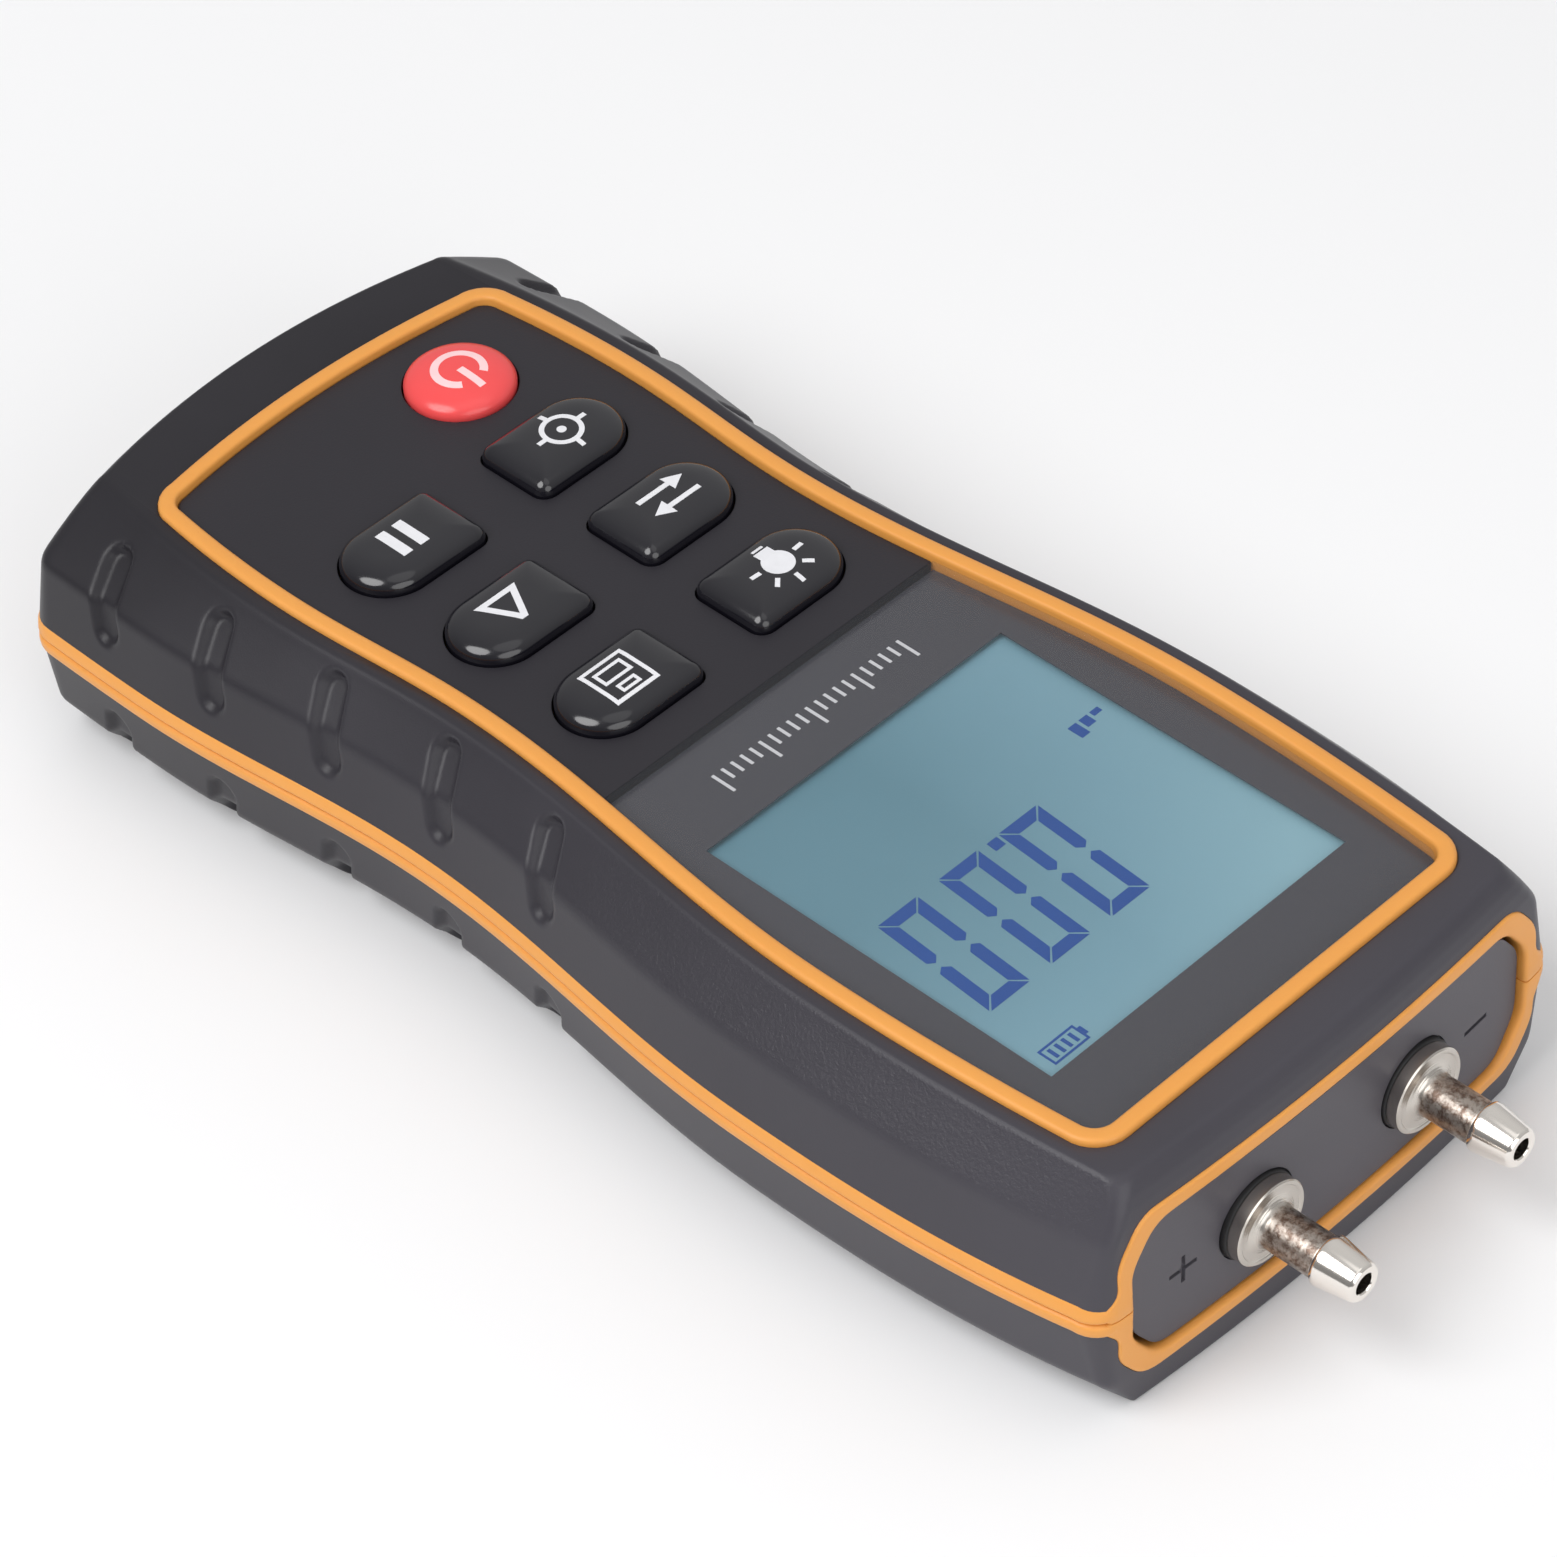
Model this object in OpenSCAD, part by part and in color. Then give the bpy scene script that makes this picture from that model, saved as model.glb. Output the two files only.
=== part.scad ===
// Handheld digital manometer with two hose barbs, millimetres.
// Origin at the centre of the back face, +Z out of the display, +Y towards the barbs.

/* [Body] */
// Length of the two half shells, without the barbs
body_length = 146; // [136:1:160]
// Height from the back face to the display window
body_height = 28; // [27:0.5:34]
// Height of the joint between the half shells
joint_height = 13.9; // [13.2:0.1:14.6]
// Greatest width, beside the display
head_width = 69.4; // [67:0.2:76]
// Width at the narrow waist, below the display
waist_width = 62; // [60:0.2:66]
// Greatest width of the handle part
handle_width = 67.4; // [65:0.2:72]
// Width at the end that carries the barbs
barb_end_width = 61.2; // [60:0.2:66]
// Width at the handle end
handle_end_width = 66.6; // [64:0.2:72]
// How far the barb end bulges at its middle
barb_end_bulge = 1.2; // [0.4:0.1:2]
// How far the handle end bulges at its middle
handle_end_bulge = 3; // [1:0.1:4]

/* [Layers] */
// Wall of the hard shells
shell_wall = 1.8; // [1.4:0.1:2.2]
// Thickness of the soft grip layer
grip_layer = 1.6; // [1.2:0.1:2]
// Height of the bare stripe at the joint
stripe_height = 3.3; // [2.4:0.1:4.5]
// How far the stripe stands out of the grip layer
stripe_proud = 0.2; // [0.1:0.05:0.4]
// Width of the grip slots
slot_width = 2.9; // [2:0.1:4]
// Depth of the grip slots
slot_depth = 0.8; // [0.5:0.1:1.1]
// Distance from one grip slot to the next
slot_pitch = 14.9; // [12:0.1:15.5]
// Number of grip slots on each side
slot_count = 5; // [3:1:5]

/* [Face] */
// Outer width of the face ring beside the display
ring_head_width = 54.2; // [53:0.2:57]
// Outer width of the face ring at the waist
ring_waist_width = 46.2; // [46:0.2:50]
// Outer width of the face ring beside the keys
ring_handle_width = 48.8; // [48:0.2:53]
// Width of the raised ring strip
ring_strip = 1.85; // [1.4:0.05:2]
// How far the ring stands above the window
ring_proud = 0.7; // [0.3:0.1:1.2]
// Thickness of the window sheet
lens_thickness = 1.2; // [0.8:0.1:1.4]
// Width of the visible display
display_width = 40; // [34:0.5:41]
// Length of the visible display
display_length = 43; // [36:0.5:44]

/* [Keys] */
// Length of a key across the body
key_length = 13.8; // [11:0.2:14.6]
// Width of a key along the body
key_width = 9.4; // [7:0.2:10]
// Height of a key above the key plate
key_rise = 2; // [1.2:0.1:2.6]
// Travel of a key
key_travel = 0.8; // [0.4:0.05:1]
// Distance between the two key columns
column_pitch = 21.2; // [20:0.2:22]
// Distance between two key rows
row_pitch = 14.9; // [12.5:0.1:15.2]
// Diameter of the round power key
power_key_diameter = 11.2; // [9:0.2:12]

/* [Ports] */
// Distance between the two hose barbs
port_pitch = 21.8; // [18:0.2:23]
// Greatest diameter of a barb
barb_diameter = 5.2; // [4.9:0.1:5.6]
// Diameter of the neck behind the barb
neck_diameter = 4.6; // [3.8:0.1:4.7]
// Diameter of the bore
port_bore = 2.2; // [1.4:0.1:2.2]
// Reach of a barb in front of its flange
barb_reach = 10.8; // [9:0.1:14]
// Diameter of the port flange
flange_diameter = 9; // [8:0.1:9.6]

/* [Power] */
// Diameter of a cell
cell_diameter = 10.5; // [9.8:0.1:10.6]
// Length of a cell
cell_length = 44.5; // [42:0.1:45]
// Thickness of the battery cover
cover_thickness = 1.7; // [1.4:0.1:2]

/* [Hidden] */
// Clearance between pieces that move or drop in
clearance = 0.3;
// Clearance between fixed pieces
fit = 0.15;
// How far a cut runs past a face
overrun = 1;
// Numbers of points along a side, round a corner and across an end
side_steps = 20;
corner_steps = 4;
end_steps = 6;

// Height of the crease between side and upper bevel, and how far it is drawn in
upper_crease_drop = 5.35;
upper_crease_inset = 1.65;
// Height of the crease between side and lower bevel, and how far it and the back edge are drawn in
lower_crease_height = 4.8;
lower_crease_inset = 1.3;
back_edge_inset = 5;
// The same creases at the two ends
barb_end_upper_inset = 0.4;
barb_end_round = 2.7;
handle_end_upper_inset = 0.9;
handle_end_round = 2.1;
barb_end_back_inset = 0.6;
handle_end_back_inset = 1.2;
// Black border outside the face ring
ring_border = 1.4;
corner_radius_barb = 3;
corner_radius_handle = 5.5;
crease_corner_radius = 2.4;
ring_corner_radius = 4;
ring_barb_margin = 6.4;
ring_handle_margin = 9.7;
ring_handle_bulge = 1.7;
ring_edge = 0.3;

// Places of the narrow and wide spots along the body, as shares of its length
waist_share = -0.103;
head_share = 0.212;
handle_share = -0.363;
ring_waist_share = -0.11;
ring_head_share = 0.226;
ring_handle_share = -0.281;
// How sharply each side runs in towards its ends
body_end_power = 2.5;
ring_end_power = 2;

half_length = body_length / 2;
upper_crease_height = body_height - upper_crease_drop;
stripe_top = joint_height + stripe_height / 2;
stripe_bottom = joint_height - stripe_height / 2;
side_slope = upper_crease_inset / (upper_crease_height - joint_height);
lower_slope = lower_crease_inset / (joint_height - lower_crease_height);

// Heights of the face layers
gasket_thickness = 0.2;
mask_thickness = 0.2;
lens_bottom = body_height - lens_thickness;
mask_bottom = lens_bottom - mask_thickness;
face_top = mask_bottom - gasket_thickness;
face_bottom = face_top - shell_wall;
key_plate_drop = 0.2;
key_plate_top = body_height - key_plate_drop;
ring_top = body_height + ring_proud;

// Board, display stack and keypad
board_thickness = 1.6;
display_depth = 4.8;
board_top = face_bottom - display_depth;
board_bottom = board_top - board_thickness;
glass_thickness = 2;
frame_lip = 0.3;
glass_top = face_top - frame_lip;
glass_bottom = glass_top - glass_thickness;
glass_border = 3;
board_half_width = 25;
display_top_margin = 17;
display_y1 = half_length - display_top_margin;
display_y0 = display_y1 - display_length;
frame_wall = 1;
glass_side = 1.6;
glass_half_width = display_width / 2 + glass_side;
frame_half_width = glass_half_width + fit + frame_wall;
frame_y0 = display_y0 - glass_border - frame_wall;
frame_y1 = display_y1 + glass_border + frame_wall;
window_gap = 0.6;
zebra_width = 1.8;
seam_margin = 11;
seam_y = display_y0 - seam_margin;

first_row_margin = 20.5;
power_row_pitch = 14.5;
first_row_y = display_y0 - first_row_margin;
power_key_y = first_row_y - 2 * row_pitch - power_row_pitch;
power_key_x = -column_pitch / 2;
flange_gap = 0.2;
flange_thickness = 1.2;
flange_margin = 0.9;
key_flange_top = face_bottom - flange_gap;
key_flange_bottom = key_flange_top - flange_thickness;
mat_thickness = 1;
mat_top = board_top + mat_thickness;
dome_top = key_flange_bottom - clearance;
dome_base_radius = 3.6;
dome_top_radius = 2;
mat_half_width = 19.3;
mat_margin = 7;
mat_y0 = power_key_y - mat_margin;
mat_y1 = first_row_y + mat_margin;
board_handle_margin = 13;
board_barb_margin = 0.5;
board_y0 = -half_length + board_handle_margin;
board_y1 = frame_y1 + board_barb_margin;
key_top = key_plate_top + key_rise;

// Posts and screws
post_radius = 1.8;
post_x = 22.3;
post_margin = 4;
post_y1 = frame_y0 - frame_lip - post_margin;
post_y0 = board_y0 + post_margin;
board_screw_radius = 1;
board_screw_head_radius = 1.9;
board_screw_head = 1.3;
board_screw_grip = 3.6;
boss_radius = 2.4;
rear_boss_radius = 3;
boss_joint = 10;
case_screw_radius = 1.25;
case_screw_head_radius = 2.4;
case_screw_head = 1.8;
case_screw_sink = 1;
case_screw_length = 17;
case_screw_hole = case_screw_radius + fit;
boss_barb_margin = 8.6;
boss_handle_margin = 9.5;
boss_x1 = 22;
boss_x0 = 23;
boss_y1 = half_length - boss_barb_margin;
boss_y0 = -half_length + boss_handle_margin;
case_bosses = [[boss_x1, boss_y1], [-boss_x1, boss_y1], [boss_x0, boss_y0], [-boss_x0, boss_y0]];
board_posts = [[post_x, post_y1], [-post_x, post_y1], [post_x, post_y0], [-post_x, post_y0]];

// End panel and ports
panel_height = 16.8;
panel_width = 53.6;
panel_rise = 0.1;
panel_z = joint_height + panel_rise;
panel_slant_x = 3.1;
panel_slant_z = 4.2;
panel_recess = 0.55;
panel_plate = 2.6;
panel_flange = 0.8;
panel_flange_depth = 1.2;
panel_seat_y = half_length - shell_wall - grip_layer - barb_end_bulge;
panel_front_y = half_length - panel_recess;
panel_pocket_y = panel_front_y - panel_plate;
panel_skirt = 1.6;
frame_strip = 1.9;
frame_flare = 2;
flare_reach_share = 1.5;
flare_shoulder_share = 0.8;
sign_size = 3.4;
sign_depth = 0.4;
sign_stroke = 0.5;
sign_x = 20.2;
port_drop = 0.5;
port_z = joint_height - port_drop;
port_x = port_pitch / 2;
seal_thickness = 1;
seal_recess = 0.8;
seal_seat_y = panel_front_y - seal_recess;
seal_radius = flange_diameter / 2 + fit;
flange_y = seal_seat_y + seal_thickness;
port_flange = 1.4;
port_front_y = flange_y + port_flange;
barb_tip_y = port_front_y + barb_reach;
barb_land = 0.6;
barb_cone = 4.2;
barb_tip_diameter = 3.5;
port_thread_diameter = 5;
nut_flats = 8;
nut_thickness = 2.2;
nut_y = panel_pocket_y - nut_thickness;
stub_diameter = 2.8;
stub_length = 3;
stub_y = nut_y - stub_length;
tube_wall = 0.7;
tube_bore = stub_diameter + fit;
tube_y1 = nut_y - clearance;

// Pressure sensor under the board
sensor_width = 18;
sensor_length = 17;
sensor_height = 8.4;
nozzle_x = 6;
sensor_distance = 12.4;
sensor_y1 = tube_y1 - sensor_distance;
nozzle_length = 3;
tube_y0 = sensor_y1 + clearance;

// Battery bay
cell_pitch = cell_diameter + clearance;
cell_count = 3;
cell_gap = 0.7;
cell_z = cover_thickness + cell_gap + cell_diameter / 2;
nub_length = 1;
nub_diameter = 3.8;
contact_thickness = 0.4;
spring_length = 3.5;
bay_wall = 1.4;
bay_half_width = cell_count * cell_pitch / 2 + clearance;
bay_length = cell_length + spring_length + 2 * contact_thickness + 2 * fit;
bay_margin = 10;
bay_y0 = -half_length + bay_margin;
bay_y1 = bay_y0 + bay_length;
bay_top = cell_z + cell_diameter / 2 + clearance;
cover_seat = 1.4;
cover_half_width = bay_half_width + cover_seat;
cover_y1 = bay_y1 + cover_seat;
cover_edge_y = bay_y0 - cover_seat;
hinge_radius = cover_thickness / 2;
hinge_y = cover_edge_y + hinge_radius;
hinge_z = hinge_radius;
hinge_pin_radius = 0.5;
hinge_pin_length = 1;
rim_width = 1.6;
cover_space = cover_thickness + clearance;
contact_width = 8;
contact_height = 8.6;
spring_wire = 0.6;
spring_radius = 2.4;
spring_turns = 3;
lead_diameter = 1.2;
lead_straight_share = 0.5;
lead_end_share = 0.9;
tail_width = 2;
tail_length = 3.2;
tail_z = cell_z + contact_height / 3;
lead_bend = 1.5;

// Smooth blend from 0 to 1
function blend(t) = (1 - cos(180 * min(max(t, 0), 1))) / 2;

// Half width at y from the five widths of an outline: handle end, handle, waist, head, barb end
function half_width(y, ys, ws, power) =
    y < ys[1] ? ws[1] - (ws[1] - ws[0]) * pow((ys[1] - y) / (ys[1] - ys[0]), 2)
    : y < ys[2] ? ws[1] + (ws[2] - ws[1]) * blend((y - ys[1]) / (ys[2] - ys[1]))
    : y < ys[3] ? ws[2] + (ws[3] - ws[2]) * blend((y - ys[2]) / (ys[3] - ys[2]))
    : ws[3] - (ws[3] - ws[4]) * pow((y - ys[3]) / (ys[4] - ys[3]), power);

// Right half of an outline from the handle end's middle round to the barb end's middle
function half_outline(ys, ws, power, y0, y1, bulge0, bulge1, r0, r1) =
    let (
        s0 = y0 + bulge0 + r0,
        s1 = y1 - bulge1 - r1,
        x0 = half_width(s0, ys, ws, power) - r0,
        x1 = half_width(s1, ys, ws, power) - r1
    )
    concat(
        [for (i = [0 : end_steps - 1]) let (u = i / end_steps) [x0 * u, y0 + bulge0 * u * u]],
        [for (i = [0 : corner_steps - 1]) let (a = -90 + 90 * i / corner_steps)
            [x0 + r0 * cos(a), s0 + r0 * sin(a)]],
        [for (i = [0 : side_steps]) let (y = s0 + (s1 - s0) * i / side_steps)
            [half_width(y, ys, ws, power), y]],
        [for (i = [1 : corner_steps]) let (a = 90 * i / corner_steps)
            [x1 + r1 * cos(a), s1 + r1 * sin(a)]],
        [for (i = [1 : end_steps]) let (u = 1 - i / end_steps) [x1 * u, y1 - bulge1 * u * u]]);

function mirrored(half) = concat(half, [for (i = [len(half) - 2 : -1 : 1]) [-half[i][0], half[i][1]]]);

body_ys = [-half_length, handle_share * body_length, waist_share * body_length, head_share * body_length,
    half_length];
body_ws = [handle_end_width / 2, handle_width / 2, waist_width / 2, head_width / 2, barb_end_width / 2];

// Body outline drawn in by side, at its barb end and at its handle end
function body_outline(inset, barb_inset, handle_inset) = mirrored(half_outline(body_ys,
    [for (w = body_ws) w - inset], body_end_power, -half_length + handle_inset, half_length - barb_inset,
    handle_end_bulge, barb_end_bulge, max(corner_radius_handle - inset, clearance),
    max(corner_radius_barb - inset, clearance)));

ring_y0 = -half_length + ring_handle_margin;
ring_y1 = half_length - ring_barb_margin;
ring_ys = [ring_y0, ring_handle_share * body_length, ring_waist_share * body_length,
    ring_head_share * body_length, ring_y1];
ring_end_narrowing = 1.9;
ring_ws = [ring_handle_width / 2 - ring_end_narrowing, ring_handle_width / 2, ring_waist_width / 2,
    ring_head_width / 2, ring_head_width / 2 - ring_end_narrowing];

// Outline of the face ring drawn in by inset
function ring_outline(inset) = mirrored(half_outline(ring_ys, [for (w = ring_ws) w - inset], ring_end_power,
    ring_y0 + inset, ring_y1 - inset, ring_handle_bulge, 0, ring_corner_radius - inset,
    ring_corner_radius - inset));

// Upper edge of the grip layer, outside the ring
function top_edge(inset) = mirrored(half_outline(ring_ys, [for (w = ring_ws) w + ring_border - inset],
    ring_end_power, -half_length + handle_end_round + inset, half_length - barb_end_round - inset,
    handle_end_bulge, barb_end_bulge, crease_corner_radius, crease_corner_radius));

function mixed(a, b, x_share, y_share) = [for (i = [0 : len(a) - 1])
    [a[i][0] + (b[i][0] - a[i][0]) * x_share, a[i][1] + (b[i][1] - a[i][1]) * y_share]];

function raised(outline, z) = [for (p = outline) [p[0], p[1], z]];

// Two triangles between loops k and l. The diagonal always runs from point i of the lower loop to point j
// of the upper one, so that two layers made through the same loops meet without a gap
function wall_faces(loops, k, l, n) =
    let (rising = loops[l][0][2] >= loops[k][0][2])
    [for (i = [0 : n - 1]) let (j = (i + 1) % n)
        each rising ? [[k * n + i, l * n + j, k * n + j], [k * n + i, l * n + i, l * n + j]]
            : [[k * n + i, l * n + i, k * n + j], [k * n + j, l * n + i, l * n + j]]];

// Solid between stacked loops of equal length, closed by its first and last loops
module loft(loops) {
    n = len(loops[0]);
    m = len(loops);
    points = [for (loop = loops) for (p = loop) p];
    sides = [for (k = [0 : m - 2]) each wall_faces(loops, k, k + 1, n)];
    first = [[for (i = [0 : n - 1]) i]];
    last = [[for (i = [n - 1 : -1 : 0]) (m - 1) * n + i]];
    polyhedron(points, concat(sides, first, last));
}

// Closed band through loops of equal length, the last joined to the first
module band(loops) {
    n = len(loops[0]);
    m = len(loops);
    points = [for (loop = loops) for (p = loop) p];
    polyhedron(points, [for (k = [0 : m - 1]) each wall_faces(loops, k, (k + 1) % m, n)]);
}

module block(x0, x1, y0, y1, z0, z1) {
    translate([x0, y0, z0]) cube([x1 - x0, y1 - y0, z1 - z0]);
}

// Round bar along +Y from y0 to y1
module bar_y(r, y0, y1) {
    translate([0, y0, 0]) rotate([-90, 0, 0]) cylinder(r = r, h = y1 - y0, $fn = 48);
}

// Outer faces of the upper and lower half, drawn in by depth. The creases move down or up by a share of it
bevel_draw_share = 1.25;
crease_share = 0.4;
bulge_share = 0.68;
bulge_end_share = 0.2;
function side_inset(z) =
    z > joint_height ? side_slope * (z - joint_height) : lower_slope * (joint_height - z);

function upper_loops(depth, z0) =
    let (
        side = body_outline(side_inset(z0) + depth, depth, depth),
        crease = body_outline(upper_crease_inset + depth, barb_end_upper_inset + depth,
            handle_end_upper_inset + depth),
        edge = top_edge(depth * bevel_draw_share)
    )
    [raised(side, z0), raised(crease, upper_crease_height - depth * crease_share),
        raised(mixed(crease, edge, bulge_share, bulge_end_share),
            upper_crease_height + (upper_crease_drop - depth) * bulge_share),
        raised(edge, body_height - depth)];

function lower_loops(depth, z0) =
    [raised(body_outline(back_edge_inset + depth * bevel_draw_share, barb_end_back_inset + depth,
            handle_end_back_inset + depth), depth),
        raised(body_outline(lower_crease_inset + depth, barb_end_back_inset / 2 + depth,
            handle_end_back_inset / 2 + depth), lower_crease_height + depth * crease_share),
        raised(body_outline(side_inset(z0) + depth, depth, depth), z0)];

// Faces of the hard upper shell under the grip layer, from z0 up to just outside the ring
shell_edge = 0.35;
function shell_loops(z0) =
    [raised(body_outline(side_inset(stripe_top) + grip_layer, grip_layer, grip_layer), z0),
        raised(body_outline(upper_crease_inset + grip_layer, barb_end_upper_inset + grip_layer,
            handle_end_upper_inset + grip_layer), upper_crease_height - grip_layer * crease_share),
        raised(ring_outline(-shell_edge), face_top)];

// Grip slots: rounded slots across the crease, slanted, cut to an even depth. Turn points them out of
// the crease, and lean is 1 where they run from the bevel down to the side and -1 the other way
slot_first_drop = 11.9;
slot_first_y = display_y0 - slot_first_drop;
slot_slant = 18;
slot_on_bevel = 4.5;
slot_on_side = 2.1;
module slot_tools(level, inset, turn, lean) {
    from = lean > 0 ? -slot_on_bevel : -slot_on_side;
    to = lean > 0 ? slot_on_side : slot_on_bevel;
    for (i = [0 : slot_count - 1]) for (side = [0, 1]) {
        y = slot_first_y - i * slot_pitch;
        x = half_width(y, body_ys, body_ws, body_end_power) - inset;
        mirror([side, 0, 0]) translate([x, y, level]) rotate([0, turn, 0]) rotate([0, 0, lean * slot_slant]) {
            block(from, to, -slot_width / 2, slot_width / 2, -upper_crease_drop, upper_crease_drop);
            for (x_end = [from, to]) translate([x_end, 0, -upper_crease_drop])
                cylinder(d = slot_width, h = 2 * upper_crease_drop, $fn = 24);
        }
    }
}

// Outline of the end frame grown by margin, with the flares into the stripe
function panel_outline(grow) =
    let (w = panel_width / 2 + grow, h = panel_height / 2 + grow)
    [[w, -h + panel_slant_z], [w, h - panel_slant_z], [w - panel_slant_x, h], [-w + panel_slant_x, h],
        [-w, h - panel_slant_z], [-w, -h + panel_slant_z], [-w + panel_slant_x, -h], [w - panel_slant_x, -h]];

module panel_prism(grow, y0, y1) {
    translate([0, y1, panel_z]) rotate([90, 0, 0]) linear_extrude(y1 - y0) polygon(panel_outline(grow));
}

module frame_prism(grow, y0, y1) {
    flare = frame_flare + grow;
    w = panel_width / 2 + frame_strip + grow;
    panel_prism(frame_strip + grow, y0, y1);
    translate([0, y1, joint_height]) rotate([90, 0, 0]) linear_extrude(y1 - y0) for (side = [-1, 1])
        polygon([[side * (w - flare), -stripe_height / 2 - flare * flare_reach_share],
            [side * (w - flare), stripe_height / 2 + flare * flare_reach_share],
            [side * w, stripe_height / 2 + flare * flare_shoulder_share],
            [side * (w + flare), stripe_height / 2],
            [side * (w + flare), -stripe_height / 2],
            [side * w, -stripe_height / 2 - flare * flare_shoulder_share]]);
}

module front_shell() {
    inner_edge = 1.2;
    wall = grip_layer + shell_wall;
    inside = [raised(ring_outline(inner_edge), face_bottom),
        raised(body_outline(upper_crease_inset + wall, wall, wall),
            upper_crease_height - wall * crease_share),
        raised(body_outline(wall, wall, wall), joint_height)];
    stripe = [raised(body_outline(fit, fit, fit), joint_height),
        raised(body_outline(-stripe_proud, -stripe_proud, -stripe_proud), joint_height + ring_edge),
        raised(body_outline(side_inset(stripe_top) - stripe_proud, -stripe_proud, -stripe_proud),
            stripe_top - ring_edge),
        raised(body_outline(side_inset(stripe_top), 0, 0), stripe_top)];
    ring = [raised(ring_outline(0), face_top),
        raised(ring_outline(0), ring_top - ring_edge),
        raised(ring_outline(ring_edge), ring_top),
        raised(ring_outline(ring_strip - ring_edge), ring_top),
        raised(ring_outline(ring_strip), ring_top - ring_edge),
        raised(ring_outline(ring_strip), face_top)];
    color("orange") difference() {
        union() {
            loft(concat(inside, stripe, shell_loops(stripe_top), ring));
            intersection() {
                frame_prism(0, panel_seat_y, half_length + overrun);
                loft(upper_loops(-stripe_proud / 2, joint_height));
            }
            intersection() {
                for (p = case_bosses) translate([p[0], p[1], boss_joint])
                    cylinder(r = boss_radius, h = face_top - boss_joint - shell_wall / 2, $fn = 48);
                loft(concat([shell_loops(boss_joint - overrun)[0]], shell_loops(stripe_top)));
            }
            for (p = board_posts) translate([p[0], p[1], board_top])
                cylinder(r = post_radius, h = face_top - board_top - shell_wall / 2, $fn = 48);
        }
        block(-frame_half_width - clearance, frame_half_width + clearance, frame_y0 - clearance,
            frame_y1 + clearance, face_bottom - overrun, face_top + overrun);
        key_holes(face_bottom - overrun, face_top + overrun);
        panel_prism(fit, panel_seat_y - overrun, half_length + overrun);
        panel_prism(panel_flange + fit, panel_seat_y - panel_flange_depth - clearance, panel_seat_y);
        for (p = case_bosses) translate([p[0], p[1], boss_joint - overrun])
            cylinder(r = case_screw_radius + fit / 3, h = case_screw_length - boss_joint + 2 * overrun,
                $fn = 32);
        for (p = board_posts) translate([p[0], p[1], board_top - overrun])
            cylinder(r = board_screw_radius + fit / 3, h = board_screw_grip + 2 * overrun, $fn = 32);
    }
}

module front_grip() {
    under = shell_loops(stripe_top);
    loops = concat(upper_loops(0, stripe_top), [raised(ring_outline(0), body_height),
        raised(ring_outline(0), face_top), under[2], under[1], under[0]]);
    color([0.22, 0.22, 0.24]) difference() {
        band(loops);
        frame_prism(0, panel_seat_y - overrun, half_length + overrun);
        difference() {
            slot_tools(upper_crease_height, upper_crease_inset, 45, 1);
            loft(upper_loops(slot_depth, joint_height));
        }
    }
}

// Faces of the hard lower shell under the grip layer, from the stripe down
function under_loops() =
    [raised(body_outline(side_inset(stripe_bottom) + grip_layer, grip_layer, grip_layer), stripe_bottom),
        raised(body_outline(lower_crease_inset + grip_layer, barb_end_back_inset / 2 + grip_layer,
            handle_end_back_inset / 2 + grip_layer), lower_crease_height + grip_layer * crease_share),
        raised(body_outline(back_edge_inset + grip_layer * bevel_draw_share, barb_end_back_inset
            + grip_layer, handle_end_back_inset + grip_layer), grip_layer)];

module rear_shell() {
    wall = grip_layer + shell_wall;
    under = under_loops();
    stripe = [raised(body_outline(side_inset(stripe_bottom), 0, 0), stripe_bottom),
        raised(body_outline(-stripe_proud, -stripe_proud, -stripe_proud), stripe_bottom + ring_edge),
        raised(body_outline(-stripe_proud, -stripe_proud, -stripe_proud), joint_height - ring_edge),
        raised(body_outline(fit, fit, fit), joint_height)];
    inside = [raised(body_outline(wall, wall, wall), joint_height),
        raised(body_outline(lower_crease_inset + wall, wall, wall),
            lower_crease_height + wall * crease_share),
        raised(body_outline(back_edge_inset + wall, wall + barb_end_back_inset, wall
            + handle_end_back_inset), wall)];
    color("orange") difference() {
        union() {
            loft(concat([under[2], under[1], under[0]], stripe, inside));
            intersection() {
                frame_prism(0, panel_seat_y, half_length + overrun);
                loft(lower_loops(-stripe_proud / 2, joint_height));
            }
            block(-cover_half_width - clearance - rim_width, cover_half_width + clearance + rim_width,
                cover_edge_y - clearance - rim_width, cover_y1 + clearance + rim_width, 0, wall);
            block(-bay_half_width - bay_wall, bay_half_width + bay_wall, bay_y0 - bay_wall, bay_y1
                + bay_wall, grip_layer, bay_top + bay_wall);
            for (p = case_bosses) translate([p[0], p[1], grip_layer])
                cylinder(r = rear_boss_radius, h = boss_joint - grip_layer, $fn = 48);
        }
        block(-bay_half_width, bay_half_width, bay_y0, bay_y1, -overrun, bay_top);
        block(-cover_half_width - clearance, cover_half_width + clearance, cover_edge_y - clearance,
            cover_y1 + clearance, -overrun, cover_space);
        translate([-cover_half_width - clearance - hinge_pin_length, hinge_y, hinge_z]) rotate([0, 90, 0])
            cylinder(r = hinge_pin_radius + fit, h = 2 * (cover_half_width + clearance + hinge_pin_length),
                $fn = 32);
        panel_prism(fit, panel_seat_y - overrun, half_length + overrun);
        panel_prism(panel_flange + fit, panel_seat_y - panel_flange_depth - clearance, panel_seat_y);
        tail_slot(-cell_pitch, bay_y1, 1);
        tail_slot(cell_pitch, bay_y0, -1);
        for (p = case_bosses) translate([p[0], p[1], -overrun]) {
            cylinder(r = case_screw_hole, h = boss_joint + 2 * overrun, $fn = 32);
            cylinder(r = case_screw_head_radius + clearance, h = case_screw_sink + case_screw_head + overrun,
                $fn = 48);
        }
    }
}

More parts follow.
